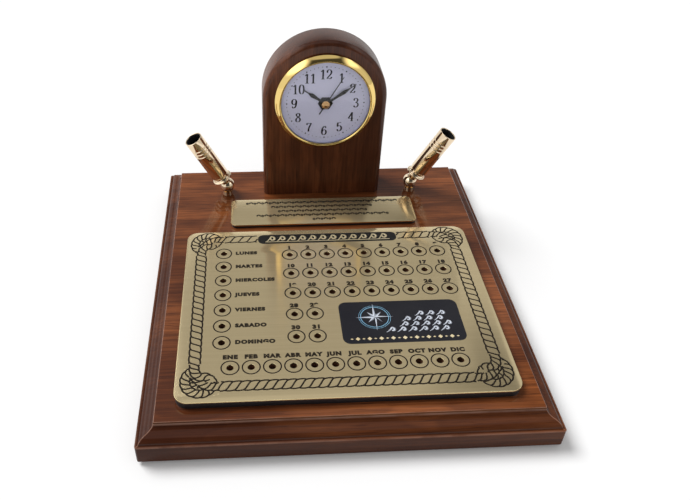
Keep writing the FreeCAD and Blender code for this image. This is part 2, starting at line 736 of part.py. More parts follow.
def case_screws():
    screws = []
    seat = CASE_REAR + CASE_SCREW_HEAD_HEIGHT
    for place in case_screw_places():
        head = rod(CASE_SCREW_HEAD, CASE_REAR, seat, place)
        shank = rod(CASE_SCREW_RADIUS, seat, -CASE_LENGTH / 2, place)
        slot = screw_slot(CASE_SCREW_HEAD, CASE_SCREW_SLOT, CASE_REAR, CASE_SCREW_HEAD_HEIGHT / 2, place)
        screws.append(head.fuse(shank).cut(slot))
    return Part.makeCompound(screws)


# ---------------------------------------------------------------- movement frame
def arbor_holes(z0, z1, arbors):
    return [rod(PIVOT_RADIUS + PIVOT_FIT, z0 - 1, z1 + 1, place) for place in arbors]


def movement_front_plate():
    z0 = -PLATE_THICKNESS
    holes = arbor_holes(z0, 0, (THIRD_AT, MINUTE_AT, INTERMEDIATE_AT, ROTOR_AT))
    holes.append(rod(BUSH_RADIUS, z0 - 1, 1))
    for place in pillar_places():
        holes.append(rod(LONG_SCREW_RADIUS, z0 - 1, 1, place))
    return cut_all(rod(PLATE_RADIUS, z0, 0), holes)


def movement_rear_plate():
    z0 = REAR_PLATE - PLATE_THICKNESS
    holes = arbor_holes(z0, REAR_PLATE, ((0, 0), THIRD_AT, INTERMEDIATE_AT, ROTOR_AT))
    holes.append(rod(KNOB_ARBOR_RADIUS + RUNNING_FIT, z0 - 1, REAR_PLATE + 1, MINUTE_AT))
    holes.append(rod(CELL_RADIUS + CELL_CUTOUT, z0 - 1, REAR_PLATE + 1, (0, CELL_OFFSET)))
    for place in pillar_places():
        holes.append(rod(LONG_SCREW_RADIUS, z0 - 1, REAR_PLATE + 1, place))
    posts = [rod(STATOR_POST_RADIUS, REAR_PLATE, STATOR_REAR, end) for end in core_ends()]
    holes += [rod(STATOR_SCREW_RADIUS, REAR_PLATE, STATOR_REAR + 1, end) for end in core_ends()]
    return cut_all(join_all(rod(PLATE_RADIUS, z0, REAR_PLATE), posts), holes)


def centre_bush():
    """Threaded bush through the case and the dial; the hour pipe turns in it."""
    return pipe(BUSH_BORE, BUSH_RADIUS, -PLATE_THICKNESS, BUSH_HEIGHT)


def bush_nut():
    nut = hexagon(BUSH_NUT_FLATS, DIAL_FRONT, DIAL_FRONT + BUSH_NUT_THICKNESS)
    return nut.cut(rod(BUSH_RADIUS, 0, BUSH_HEIGHT + 1))


def plate_pillars():
    z1 = -PLATE_THICKNESS
    return Part.makeCompound([pipe(LONG_SCREW_RADIUS, PILLAR_RADIUS, REAR_PLATE, z1, place)
                              for place in pillar_places()])


def movement_screws():
    screws = []
    rear = REAR_PLATE - PLATE_THICKNESS
    for place in pillar_places():
        head = rod(LONG_SCREW_HEAD, rear - LONG_SCREW_HEAD_HEIGHT, rear, place)
        shank = rod(LONG_SCREW_RADIUS, rear, LONG_SCREW_BITE, place)
        screws.append(head.fuse(shank))
    return Part.makeCompound(screws)


# ---------------------------------------------------------------- motor
def core_ends():
    half = COIL_LENGTH / 2 + CORE_OVERHANG / 2
    return (COIL_CENTRE - half, COIL_HEIGHT), (COIL_CENTRE + half, COIL_HEIGHT)


def leg(start, end, width, z0, z1):
    """Flat strip with round ends between two points."""
    length = math.dist(start, end)
    strip = box(0, length, -width / 2, width / 2, z0, z1)
    strip = spun(strip, math.degrees(math.atan2(end[1] - start[1], end[0] - start[0])))
    strip = moved(strip, start[0], start[1])
    return strip.fuse(rod(width / 2, z0, z1, start)).fuse(rod(width / 2, z0, z1, end))


def stator():
    """Flat iron yoke: a rim round the magnet and a leg down to each end of the coil core."""
    z1 = STATOR_REAR + STATOR_THICKNESS
    rim_middle = MAGNET_RADIUS + STATOR_GAP + STATOR_RIM / 2
    left_end, right_end = core_ends()
    left_start = (left_end[0], ROTOR_AT[1])
    right_start = (ROTOR_AT[0] + rim_middle * 0.8, ROTOR_AT[1] - rim_middle * 0.8)
    right_knee = (right_end[0], COIL_HEIGHT + COIL_FLANGE_RADIUS + STATOR_LEG)
    rim = rod(MAGNET_RADIUS + STATOR_GAP + STATOR_RIM, STATOR_REAR, z1, ROTOR_AT)
    legs = [leg(left_start, left_end, STATOR_LEG, STATOR_REAR, z1)]
    legs.append(leg(right_start, right_knee, STATOR_LEG, STATOR_REAR, z1))
    legs.append(leg(right_knee, right_end, STATOR_LEG, STATOR_REAR, z1))
    holes = [rod(MAGNET_RADIUS + STATOR_GAP, STATOR_REAR - 1, z1 + 1, ROTOR_AT)]
    holes += [rod(STATOR_SCREW_RADIUS, STATOR_REAR - 1, z1 + 1, end) for end in core_ends()]
    return cut_all(join_all(rim, legs), holes)


def coil_core():
    z0 = STATOR_REAR + STATOR_THICKNESS
    z1 = z0 + CORE_THICKNESS
    left_end, right_end = core_ends()
    core = leg(left_end, right_end, CORE_WIDTH, z0, z1)
    return cut_all(core, [rod(STATOR_SCREW_RADIUS, z0 - 1, z1 + 1, end) for end in core_ends()])


def stator_screws():
    """Screws through the core and the stator into the posts of the rear plate."""
    seat = STATOR_REAR + STATOR_THICKNESS + CORE_THICKNESS
    screws = []
    for end in core_ends():
        head = rod(STATOR_SCREW_HEAD, seat, seat + STATOR_SCREW_HEAD / 2, end)
        screws.append(head.fuse(rod(STATOR_SCREW_RADIUS, REAR_PLATE, seat, end)))
    return Part.makeCompound(screws)


def coil():
    """Winding between two flanges, lying along X round the core."""
    middle = STATOR_REAR + STATOR_THICKNESS + CORE_THICKNESS / 2
    half = COIL_LENGTH / 2
    wound = half - COIL_FLANGE_THICKNESS
    outline = [(0, -half), (COIL_FLANGE_RADIUS, -half), (COIL_FLANGE_RADIUS, -wound), (COIL_RADIUS, -wound),
               (COIL_RADIUS, wound), (COIL_FLANGE_RADIUS, wound), (COIL_FLANGE_RADIUS, half), (0, half)]
    body = moved(spun(turned(outline), 90, Vector(0, 1, 0)), COIL_CENTRE, COIL_HEIGHT, middle)
    return body.cut(coil_core())


# ---------------------------------------------------------------- circuit and supply
def circuit_board():
    board = rod(CIRCUIT_RADIUS, CIRCUIT_REAR, CIRCUIT_FRONT)
    keep = box(-CIRCUIT_RADIUS, CIRCUIT_RIGHT_EDGE, -CIRCUIT_RADIUS, CIRCUIT_RADIUS, CIRCUIT_REAR, CIRCUIT_FRONT)
    holes = [rod(CELL_RADIUS + CELL_CUTOUT, CIRCUIT_REAR - 1, CIRCUIT_FRONT + 1, (0, CELL_OFFSET))]
    holes.append(rod(KNOB_ARBOR_RADIUS + BOARD_HOLE_GAP, CIRCUIT_REAR - 1, CIRCUIT_FRONT + 1, MINUTE_AT))
    return cut_all(board.common(keep), holes)


def control_chip():
    half = CHIP_SIDE / 2
    x = INTERMEDIATE_AT[0]
    return box(x - half, x + half, -half, half, CIRCUIT_REAR - CHIP_HEIGHT, CIRCUIT_REAR)


def quartz_crystal():
    """Small can with its two leads bent down to the board."""
    z = CIRCUIT_REAR - CRYSTAL_RADIUS
    y = INTERMEDIATE_AT[1] - CHIP_SIDE / 2 - 2 * CRYSTAL_RADIUS
    start = Vector(CRYSTAL_END_X - CRYSTAL_LENGTH, y, z)
    can = Part.makeCylinder(CRYSTAL_RADIUS, CRYSTAL_LENGTH, start, Vector(1, 0, 0))
    half = CRYSTAL_LEAD / 2
    end = CRYSTAL_END_X + CRYSTAL_LEAD_REACH
    leads = []
    for side in (-1, 1):
        lead_y = y + side * CRYSTAL_LEAD_PITCH / 2
        leads.append(box(CRYSTAL_END_X, end, lead_y - half, lead_y + half, z - half, z + half))
        leads.append(box(end - CRYSTAL_LEAD, end, lead_y - half, lead_y + half, z - half, CIRCUIT_REAR))
    return join_all(can, leads)


def button_cell():
    at = (0, CELL_OFFSET)
    rear = CELL_FRONT - CELL_HEIGHT
    shoulder = CELL_FRONT - CELL_CAP_HEIGHT
    can = rod(CELL_RADIUS, rear, shoulder, at)
    cap = rod(CELL_RADIUS - CELL_CAP_STEP, shoulder, CELL_FRONT, at)
    return can.makeFillet(CELL_EDGE_ROUND, [edge_at(can, rear)]).fuse(cap).removeSplitter()


def edge_at(shape, z):
    """The round edge of a turned solid at one height."""
    return [edge for edge in shape.Edges if edge.BoundBox.ZLength < 1e-6 and abs(edge.BoundBox.ZMin - z) < 1e-6][0]


def battery_contacts():
    """Two spring strips on the circuit board: one under the cell's cap, one against its side."""
    half = CONTACT_WIDTH / 2
    thick = CONTACT_THICKNESS
    foot_rear = CIRCUIT_REAR - thick
    near_y = CELL_OFFSET - CELL_RADIUS - CELL_CUTOUT_GAP
    minus_foot = box(-half, half, near_y - CONTACT_FOOT, near_y, foot_rear, CIRCUIT_REAR)
    riser = box(-half, half, near_y - thick, near_y, foot_rear, CELL_FRONT + thick)
    blade = box(-half, half, near_y - thick, CELL_OFFSET + half, CELL_FRONT, CELL_FRONT + thick)
    low = CELL_OFFSET - half
    high = CELL_OFFSET + half
    side_blade = box(-CELL_RADIUS - thick, -CELL_RADIUS, low, high, foot_rear, CELL_FRONT - CONTACT_BELOW_CAP)
    plus_foot = box(-CELL_RADIUS - CONTACT_FOOT, -CELL_RADIUS, low, high, foot_rear, CIRCUIT_REAR)
    return Part.makeCompound([join_all(minus_foot, [riser, blade]), join_all(plus_foot, [side_blade])])


# ---------------------------------------------------------------- gear train
def toothed(teeth, module, z0, z1, phase):
    """Toothed disc with straight-sided teeth; one tooth points at the phase angle, in degrees."""
    root = module * (teeth / 2 - TOOTH_DEDENDUM)
    tip = module * (teeth / 2 + TOOTH_ADDENDUM)
    pitch = 360.0 / teeth
    points = []
    for tooth in range(teeth):
        middle = phase + tooth * pitch
        points.append(around(root, middle - TOOTH_ROOT_SHARE * pitch))
        points.append(around(tip, middle - TOOTH_TIP_SHARE * pitch))
        points.append(around(tip, middle + TOOTH_TIP_SHARE * pitch))
        points.append(around(root, middle + TOOTH_ROOT_SHARE * pitch))
    return prism(points, z0, z1)


def meshing_phase(direction, teeth, phase, mate_teeth):
    """Phase of a gear that lies in a direction from another, so that teeth meet gaps."""
    share = (direction - phase) * teeth / 360.0
    return direction + 180.0 - (0.5 - share) * 360.0 / mate_teeth


def wheel(teeth, module, level, phase):
    """Toothed wheel with a ring of lightening holes."""
    front = level + WHEEL_THICKNESS
    root = module * (teeth / 2 - TOOTH_DEDENDUM)
    holes = [rod(root * LIGHTENING_RADIUS, level - 1, front + 1, around(root * LIGHTENING_CIRCLE, angle))
             for angle in range(0, 360, 360 // LIGHTENING_HOLES)]
    return cut_all(toothed(teeth, module, level, front, phase), holes)


def arbor():
    """Steel arbor with a thin pivot at each end, for the plates' pivot holes."""
    body = rod(ARBOR_RADIUS, REAR_PLATE + LOOSE_FIT, -PLATE_THICKNESS - LOOSE_FIT)
    return body.fuse(rod(PIVOT_RADIUS, REAR_PLATE - PIVOT_LENGTH, -PLATE_THICKNESS + PIVOT_LENGTH))


def rotor():
    """Magnet and pinion of the stepping motor."""
    pinion_rear = INTERMEDIATE_LEVEL - PINION_OVERLAP
    magnet_front = pinion_rear - PINION_OVERLAP
    phase = meshing_phase(ROTOR_TURN, INTERMEDIATE_TEETH, 0.0, PINION_LEAVES)
    pinion = toothed(PINION_LEAVES, ROTOR_MODULE, pinion_rear, pinion_rear + PINION_LENGTH, phase)
    magnet = rod(MAGNET_RADIUS, magnet_front - MAGNET_LENGTH, magnet_front)
    collar = rod(MAGNET_COLLAR_RADIUS, magnet_front, pinion_rear)
    return moved(join_all(arbor(), [pinion, magnet, collar]), *ROTOR_AT)


def intermediate_wheel():
    phase = meshing_phase(INTERMEDIATE_TURN, SECOND_TEETH, 0.0, MOTION_LEAVES)
    rear = SECOND_LEVEL - PINION_OVERLAP
    pinion = toothed(MOTION_LEAVES, SECOND_MODULE, rear, rear + PINION_LENGTH, phase)
    disc = wheel(INTERMEDIATE_TEETH, ROTOR_MODULE, INTERMEDIATE_LEVEL, 0.0)
    return moved(join_all(arbor(), [disc, pinion]), *INTERMEDIATE_AT)


def second_wheel():
    disc = wheel(SECOND_TEETH, SECOND_MODULE, SECOND_LEVEL, 0.0)
    pinion_front = THIRD_LEVEL - PINION_OVERLAP + PINION_LENGTH
    pinion = toothed(PINION_LEAVES, THIRD_MODULE, SECOND_LEVEL + WHEEL_THICKNESS, pinion_front, 0.0)
    axle = rod(SECOND_ARBOR_RADIUS, REAR_PLATE + LOOSE_FIT, SECOND_HAND_LEVEL + CAP_HEIGHT / 2)
    pivot = rod(PIVOT_RADIUS, REAR_PLATE - PIVOT_LENGTH, REAR_PLATE + LOOSE_FIT)
    return join_all(axle, [pivot, disc, pinion])


def third_wheel():
    phase = meshing_phase(THIRD_TURN, PINION_LEAVES, 0.0, THIRD_TEETH)
    disc = wheel(THIRD_TEETH, THIRD_MODULE, THIRD_LEVEL, phase)
    pinion_front = CENTRE_LEVEL - PINION_OVERLAP + PINION_LENGTH
    pinion = toothed(PINION_LEAVES, CENTRE_MODULE, THIRD_LEVEL + WHEEL_THICKNESS, pinion_front, 0.0)
    return moved(join_all(arbor(), [disc, pinion]), *THIRD_AT)


def centre_wheel():
    """Wheel that carries the cannon pinion round by friction and slips on it when the hands are set."""
    phase = meshing_phase(THIRD_TURN + 180.0, PINION_LEAVES, 0.0, CENTRE_TEETH)
    bore = rod(CANNON_RADIUS + RUNNING_FIT, CENTRE_LEVEL - 1, CENTRE_LEVEL + 1)
    return wheel(CENTRE_TEETH, CENTRE_MODULE, CENTRE_LEVEL, phase).cut(bore)


def cannon_pinion():
    """Pipe that carries the minute hand; its pinion drives the motion work and a collar keeps the centre wheel on."""
    rear = CENTRE_LEVEL - CLUTCH_GAP - CANNON_COLLAR_THICKNESS
    pinion_rear = CENTRE_LEVEL + WHEEL_THICKNESS + CLUTCH_GAP
    pinion_front = MINUTE_LEVEL - PINION_OVERLAP + PINION_LENGTH
    pinion = toothed(MOTION_LEAVES, MINUTE_MODULE, pinion_rear, pinion_front, 0.0)
    collar = rod(CANNON_COLLAR_RADIUS, rear, rear + CANNON_COLLAR_THICKNESS)
    front = MINUTE_HAND_LEVEL + 2 * HAND_THICKNESS
    tube = rod(CANNON_RADIUS, rear, front)
    return join_all(tube, [pinion, collar]).cut(rod(CANNON_BORE, rear - 1, front + 1))


def minute_wheel():
    front = MINUTE_LEVEL + WHEEL_THICKNESS
    phase = meshing_phase(MINUTE_TURN, MOTION_LEAVES, 0.0, MINUTE_TEETH)
    disc = wheel(MINUTE_TEETH, MINUTE_MODULE, MINUTE_LEVEL, phase)
    pinion = toothed(MOTION_LEAVES, HOUR_MODULE, front, HOUR_LEVEL - PINION_OVERLAP + PINION_LENGTH, 0.0)
    axle = rod(KNOB_ARBOR_RADIUS, KNOB_REAR + KNOB_LENGTH / 2, front)
    pivot = rod(PIVOT_RADIUS, front, -PLATE_THICKNESS + PIVOT_LENGTH)
    return moved(join_all(axle, [pivot, disc, pinion]), *MINUTE_AT)


def setting_knob():
    front = KNOB_REAR + KNOB_LENGTH
    cuts = [rod(KNOB_ARBOR_RADIUS, KNOB_REAR + KNOB_LENGTH / 2, front + 1)]
    for flute in range(KNOB_FLUTES):
        cuts.append(rod(KNOB_FLUTE_RADIUS, KNOB_REAR - 1, front + 1, around(KNOB_RADIUS, 360.0 / KNOB_FLUTES * flute)))
    return moved(cut_all(rod(KNOB_RADIUS, KNOB_REAR, front), cuts), *MINUTE_AT)


def hour_wheel():
    phase = meshing_phase(MINUTE_TURN + 180.0, MOTION_LEAVES, 0.0, HOUR_TEETH)
    disc = wheel(HOUR_TEETH, HOUR_MODULE, HOUR_LEVEL, phase)
    front = HOUR_HAND_LEVEL + 2 * HAND_THICKNESS
    tube = rod(HOUR_PIPE_RADIUS, HOUR_LEVEL, front)
    return join_all(tube, [disc]).cut(rod(HOUR_PIPE_BORE, HOUR_LEVEL - 1, front + 1))


# ---------------------------------------------------------------- hands
def leaf_hand(length, width, hub_radius, bore, level):
    """Hand with a thin root, a leaf-shaped belly and a fine tip, on a round hub; it points up."""
    belly = length * LEAF_MIDDLE
    root = width * LEAF_ROOT
    tip = width * LEAF_TIP
    right = [(root, 0), (root, belly * LEAF_START), (width / 2, belly), (tip, belly * LEAF_END), (tip, length)]
    left = [(-x, y) for x, y in reversed(right)]
    hub = rod(hub_radius, level, level + 2 * HAND_THICKNESS)
    blade = prism(right + left, level, level + HAND_THICKNESS)
    return hub.fuse(blade).cut(rod(bore, level - 1, level + 1)).removeSplitter()


def clockwise(shape, degrees):
    return spun(shape, -degrees)


def hour_hand():
    hand = leaf_hand(HOUR_HAND_LENGTH, HOUR_HAND_WIDTH, HOUR_HUB_RADIUS, HOUR_PIPE_RADIUS, HOUR_HAND_LEVEL)
    return clockwise(hand, (SHOWN_HOUR + SHOWN_MINUTE / 60.0) * 30.0)


def minute_hand():
    hand = leaf_hand(MINUTE_HAND_LENGTH, MINUTE_HAND_WIDTH, MINUTE_HUB_RADIUS, CANNON_RADIUS, MINUTE_HAND_LEVEL)
    return clockwise(hand, SHOWN_MINUTE * 6.0)


def second_hand():
    half = SECOND_HAND_WIDTH / 2
    tip = half * 0.5
    outline = [(-half, -SECOND_HAND_TAIL), (-half, 0), (-tip, SECOND_HAND_LENGTH), (tip, SECOND_HAND_LENGTH),
               (half, 0), (half, -SECOND_HAND_TAIL)]
    blade = prism(outline, SECOND_HAND_LEVEL, SECOND_HAND_LEVEL + HAND_THICKNESS)
    hub = rod(SECOND_HUB_RADIUS, SECOND_HAND_LEVEL, SECOND_HAND_LEVEL + HAND_THICKNESS)
    hole = rod(SECOND_ARBOR_RADIUS, SECOND_HAND_LEVEL - 1, SECOND_HAND_LEVEL + 1)
    return clockwise(blade.fuse(hub).cut(hole).removeSplitter(), SHOWN_SECOND * 6.0)


def hand_cap():
    """Domed brass cap on the end of the second arbor."""
    base = SECOND_HAND_LEVEL + HAND_THICKNESS
    middle = dome_height(base + CAP_RIM, CAP_HEIGHT - CAP_RIM, CAP_RADIUS, 0.5)
    outline = [(0, base), (CAP_RADIUS, base), (CAP_RADIUS, base + CAP_RIM),
               ((CAP_RADIUS * 0.5, middle), (0, base + CAP_HEIGHT))]
    socket = rod(SECOND_ARBOR_RADIUS, base - 1, SECOND_HAND_LEVEL + CAP_HEIGHT / 2)
    return turned(outline).cut(socket)


# ---------------------------------------------------------------- pen holders (own frame: ball centre, leaning to +X)
def pen_ball():
    """Hollow ball with a slot for the neck of the stud, and a stem up into the tube."""
    inner = BALL_RADIUS - BALL_WALL
    width = NECK_RADIUS + LOOSE_FIT
    margin = math.degrees(math.asin(width / inner))
    outer = BALL_RADIUS + 1
    least = PEN_LEAN_LEAST - margin
    most = PEN_LEAN_MOST + margin
    pie = [(0.0, 0.0)] + [around(outer * 1.3, -90 + least + (most - least) * step / 4) for step in range(5)]
    slot = moved(spun(prism(pie, 0, 2 * width), 90, Vector(1, 0, 0)), y=width)
    shell = Part.makeSphere(BALL_RADIUS).fuse(rod(STEM_RADIUS, 0, TUBE_FOOT + TUBE_FLOOR))
    return cut_all(shell, [Part.makeSphere(inner), slot]).removeSplitter()


def pen_collar():
    """Flared collar between the ball and the tube."""
    web = TUBE_FOOT - COLLAR_WEB
    lip = COLLAR_BOTTOM
    rolled = (COLLAR_LIP_RADIUS, lip + COLLAR_LIP_HEIGHT / 2)
    outline = [
        (STEM_RADIUS, web),
        (COLLAR_NECK_RADIUS - COLLAR_WALL, web),
        (COLLAR_LIP_RADIUS - COLLAR_CHAMFER - COLLAR_LIP_WALL, lip),
        (COLLAR_LIP_RADIUS - COLLAR_CHAMFER, lip),
        (rolled, (COLLAR_LIP_RADIUS - COLLAR_CHAMFER, lip + COLLAR_LIP_HEIGHT)),
        (COLLAR_NECK_RADIUS, TUBE_FOOT - COLLAR_CHAMFER),
        (COLLAR_NECK_RADIUS - COLLAR_CHAMFER, TUBE_FOOT),
        (STEM_RADIUS, TUBE_FOOT),
    ]
    return turned(outline)


def tube_bore():
    """Radius and lower end of the straight bore of the tube."""
    return TUBE_RADIUS - TUBE_WALL, TUBE_FOOT + TUBE_FLOOR + TUBE_CONE_HEIGHT


def pen_tube():
    """Brass tube with a narrow foot, three grooves near the mouth and a rounded lip."""
    bore, bore_end = tube_bore()
    neck_top = TUBE_FOOT + TUBE_NECK_HEIGHT
    floor = TUBE_FOOT + TUBE_FLOOR
    outline = [(STEM_RADIUS, TUBE_FOOT), (TUBE_NECK_RADIUS, TUBE_FOOT), (TUBE_NECK_RADIUS, neck_top),
               (TUBE_RADIUS, neck_top + TUBE_CONE_HEIGHT)]
    first = TUBE_MOUTH - GROOVE_FROM_MOUTH - (GROOVE_COUNT - 1) * GROOVE_PITCH
    for groove in range(GROOVE_COUNT):
        low = first + groove * GROOVE_PITCH - GROOVE_WIDTH / 2
        high = low + GROOVE_WIDTH
        middle = (TUBE_RADIUS - GROOVE_DEPTH, (low + high) / 2)
        outline += [(TUBE_RADIUS, low), (middle, (TUBE_RADIUS, high))]
    lip = TUBE_MOUTH - TUBE_LIP
    outline += [(TUBE_RADIUS, lip), ((TUBE_RADIUS - TUBE_WALL / 2, TUBE_MOUTH), (bore, lip)),
                (bore, bore_end), (bore - COLLAR_WEB, floor), (STEM_RADIUS, floor)]
    return turned(outline)


def pen_liner():
    """Black plastic cup that lines the tube and takes the pen."""
    radius, floor = tube_bore()
    top = TUBE_MOUTH - LINER_SETBACK
    cup = rod(radius, floor, top)
    return cup.cut(rod(radius - LINER_WALL, floor + LINER_FLOOR, top + 1))


def swivel_stud():
    """Stud that carries the ball: round head inside it, thin neck, dished seat and a thread through the board."""
    drop = BALL_HEIGHT - BOARD_TOP
    seat = rod(SEAT_RADIUS, -drop, -drop + SEAT_HEIGHT).cut(Part.makeSphere(BALL_RADIUS + RUNNING_FIT))
    head = Part.makeSphere(BALL_RADIUS - BALL_WALL - RUNNING_FIT)
    head = head.common(box(-BALL_RADIUS, BALL_RADIUS, -BALL_RADIUS, BALL_RADIUS, -BALL_RADIUS, -HEAD_CUT))
    neck = rod(NECK_RADIUS, -drop, -HEAD_CUT)
    thread = rod(STUD_RADIUS, STUD_END_HEIGHT - BALL_HEIGHT, -drop)
    return join_all(seat, [head, neck, thread])


def stud_nut():
    top = FOOT_HEIGHT + NUT_SINK_DEPTH - WASHER_THICKNESS - BALL_HEIGHT
    return hexagon(NUT_FLATS, top - NUT_THICKNESS, top).cut(rod(STUD_RADIUS, top - NUT_THICKNESS - 1, top + 1))


def stud_washers():
    top = FOOT_HEIGHT + NUT_SINK_DEPTH
    return Part.makeCompound([pipe(STUD_RADIUS + RUNNING_FIT, WASHER_RADIUS, top - WASHER_THICKNESS, top, place)
                              for place in pen_places()])


def outward_turn(side):
    """Angle from +X to the direction in which the holder leans at rest."""
    return 180.0 + PEN_FORWARD_TURN if side < 0 else -PEN_FORWARD_TURN


def stood(shape, side):
    """Place a swivel piece: turned to its direction, ball centre over its stud hole."""
    return moved(spun(shape, outward_turn(side)), side * PEN_SPAN / 2, PEN_Y, BALL_HEIGHT)


def leaned(shape, side):
    """Place a tilting piece: leaned over about the ball's centre, then stood in place."""
    return stood(spun(shape, PEN_LEAN, Vector(0, 1, 0)), side)


# ---------------------------------------------------------------- write every node
def all_nodes():
    nodes = {
        "base_board": base_board(),
        "felt_feet": felt_feet(),
        "calendar_backing": calendar_backing(),
        "calendar_plate": calendar_plate(),
        "dedication_backing": dedication_backing(),
        "dedication_plate": dedication_plate(),
        "clock_arch": clock_arch(),
        "arch_screws": arch_screws(),
        "stud_washers": stud_washers(),
    }
    clock = {
        "insert_case": insert_case(),
        "fit_ring": fit_ring(),
        "bezel": bezel(),
        "lens": lens(),
        "dial": dial(),
        "chapter_ring": chapter_ring(),
        "case_back": case_back(),
        "case_screws": case_screws(),
        "battery_cover": battery_cover(),
        "movement_front_plate": movement_front_plate(),
        "movement_rear_plate": movement_rear_plate(),
        "centre_bush": centre_bush(),
        "bush_nut": bush_nut(),
        "plate_pillars": plate_pillars(),
        "movement_screws": movement_screws(),
        "stator": stator(),
        "coil_core": coil_core(),
        "coil": coil(),
        "stator_screws": stator_screws(),
        "circuit_board": circuit_board(),
        "control_chip": control_chip(),
        "quartz_crystal": quartz_crystal(),
        "button_cell": button_cell(),
        "battery_contacts": battery_contacts(),
        "rotor": rotor(),
        "intermediate_wheel": intermediate_wheel(),
        "second_wheel": second_wheel(),
        "third_wheel": third_wheel(),
        "centre_wheel": centre_wheel(),
        "cannon_pinion": cannon_pinion(),
        "minute_wheel": minute_wheel(),
        "setting_knob": setting_knob(),
        "hour_wheel": hour_wheel(),
        "hour_hand": hour_hand(),
        "minute_hand": minute_hand(),
        "second_hand": second_hand(),
        "hand_cap": hand_cap(),
    }
    for name, shape in clock.items():
        nodes[name] = seated(shape)
    for name, side in (("left", -1), ("right", 1)):
        nodes[name + "_swivel_stud"] = stood(swivel_stud(), side)
        nodes[name + "_stud_nut"] = stood(stud_nut(), side)
        nodes[name + "_pen_ball"] = leaned(pen_ball(), side)
        nodes[name + "_pen_collar"] = leaned(pen_collar(), side)
        nodes[name + "_pen_tube"] = leaned(pen_tube(), side)
        nodes[name + "_pen_liner"] = leaned(pen_liner(), side)
    return nodes


def main():
    os.makedirs("parts", exist_ok=True)
    for name, shape in all_nodes().items():
        shape.exportStep(f"parts/{name}.step")
        valid = "valid" if shape.isValid() else "NOT VALID"
        print(f"{name}: {len(shape.Solids)} solids, {shape.Volume:.1f} mm3, {valid}")


main()
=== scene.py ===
"""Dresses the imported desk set: lacquered board, brass calendar, arched clock and two pen holders."""

import json
import logging
from contextlib import contextmanager
from dataclasses import dataclass
from enum import Enum
from math import acos, asin, atan2, cos, dist, hypot, inf, pi, radians, sin, sqrt, tau
from typing import Callable, Iterator, Mapping, Sequence

import bmesh
import bpy
from mathutils import Matrix, Vector

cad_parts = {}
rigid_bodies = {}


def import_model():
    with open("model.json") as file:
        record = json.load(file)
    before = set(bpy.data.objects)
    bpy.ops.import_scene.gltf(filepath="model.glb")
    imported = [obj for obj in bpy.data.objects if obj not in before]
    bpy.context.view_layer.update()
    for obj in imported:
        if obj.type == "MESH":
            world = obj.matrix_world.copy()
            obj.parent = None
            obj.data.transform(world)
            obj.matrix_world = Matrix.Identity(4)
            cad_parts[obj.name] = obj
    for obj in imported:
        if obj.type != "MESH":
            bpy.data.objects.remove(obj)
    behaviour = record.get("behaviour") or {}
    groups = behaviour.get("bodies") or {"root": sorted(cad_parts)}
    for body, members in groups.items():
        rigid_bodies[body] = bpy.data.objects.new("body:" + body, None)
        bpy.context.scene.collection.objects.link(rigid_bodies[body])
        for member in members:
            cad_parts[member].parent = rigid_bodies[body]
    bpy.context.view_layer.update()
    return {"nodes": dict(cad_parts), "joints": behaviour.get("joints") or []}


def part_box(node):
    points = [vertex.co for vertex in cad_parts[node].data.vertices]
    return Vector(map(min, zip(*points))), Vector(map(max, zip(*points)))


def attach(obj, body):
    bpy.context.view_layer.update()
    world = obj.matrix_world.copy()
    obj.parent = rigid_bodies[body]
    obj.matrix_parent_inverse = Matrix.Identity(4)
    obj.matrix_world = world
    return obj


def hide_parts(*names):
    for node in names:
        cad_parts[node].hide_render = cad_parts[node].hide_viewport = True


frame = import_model()

LOG = logging.getLogger("desk_set")
MM = 0.001
TINY = 0.001 * MM
MERGE = 0.004 * MM
SMOOTH_ANGLE = radians(32)

Point = tuple[float, float]
Triple = tuple[float, float, float]
Colour = Triple
Line = Sequence[Point]
Piece = bpy.types.Object
Socket = bpy.types.NodeSocket
Given = Mapping[str, Socket]


# ---- modelling by hand
class Kind(Enum):
    """What an edit-mode selection picks."""

    VERTS = "VERT"
    EDGES = "EDGE"
    FACES = "FACE"


class Solid(Enum):
    """How one solid changes another."""

    CUT = "DIFFERENCE"
    KEEP = "INTERSECT"


def relax() -> None:
    """Leave edit mode and deselect every object."""
    if bpy.context.object and bpy.context.object.mode != "OBJECT":
        bpy.ops.object.mode_set(mode="OBJECT")
    for item in bpy.context.view_layer.objects:
        item.select_set(False)


def take(piece: Piece) -> None:
    """Make one piece the selected and active one."""
    relax()
    piece.select_set(True)
    bpy.context.view_layer.objects.active = piece


@contextmanager
def editing(piece: Piece, kind: Kind = Kind.FACES) -> Iterator[None]:
    """Hold a piece in edit mode.

    Args:
        piece: The mesh to edit.
        kind: What selections pick while it is edited.
    """
    take(piece)
    bpy.ops.object.mode_set(mode="EDIT")
    bpy.ops.mesh.select_mode(type=kind.value)
    yield
    bpy.ops.object.mode_set(mode="OBJECT")


def pick(piece: Piece, kind: Kind, test: Callable[..., bool]) -> None:
    """Select only the elements of an edited mesh that pass a test.

    Args:
        piece: The mesh in edit mode.
        kind: What the test is given.
        test: Says whether an element is wanted.
    """
    bpy.ops.mesh.select_all(action="DESELECT")
    mesh = bmesh.from_edit_mesh(piece.data)
    for element in getattr(mesh, kind.name.lower()):
        if test(element):
            element.select_set(True)
    mesh.select_flush_mode()
    bmesh.update_edit_mesh(piece.data)


def pick_all() -> None:
    """Select the whole of the mesh being edited."""
    bpy.ops.mesh.select_all(action="SELECT")


def face_out(merge: bool = True) -> None:
    """Merge the doubles of the mesh being edited, if asked to, and face it outwards."""
    pick_all()
    if merge:
        bpy.ops.mesh.remove_doubles(threshold=MERGE)
    bpy.ops.mesh.normals_make_consistent(inside=False)


def draw_out(x: float, y: float, z: float) -> None:
    """Extrude what is selected by a move."""
    bpy.ops.mesh.extrude_region_move(TRANSFORM_OT_translate={"value": (x, y, z)})


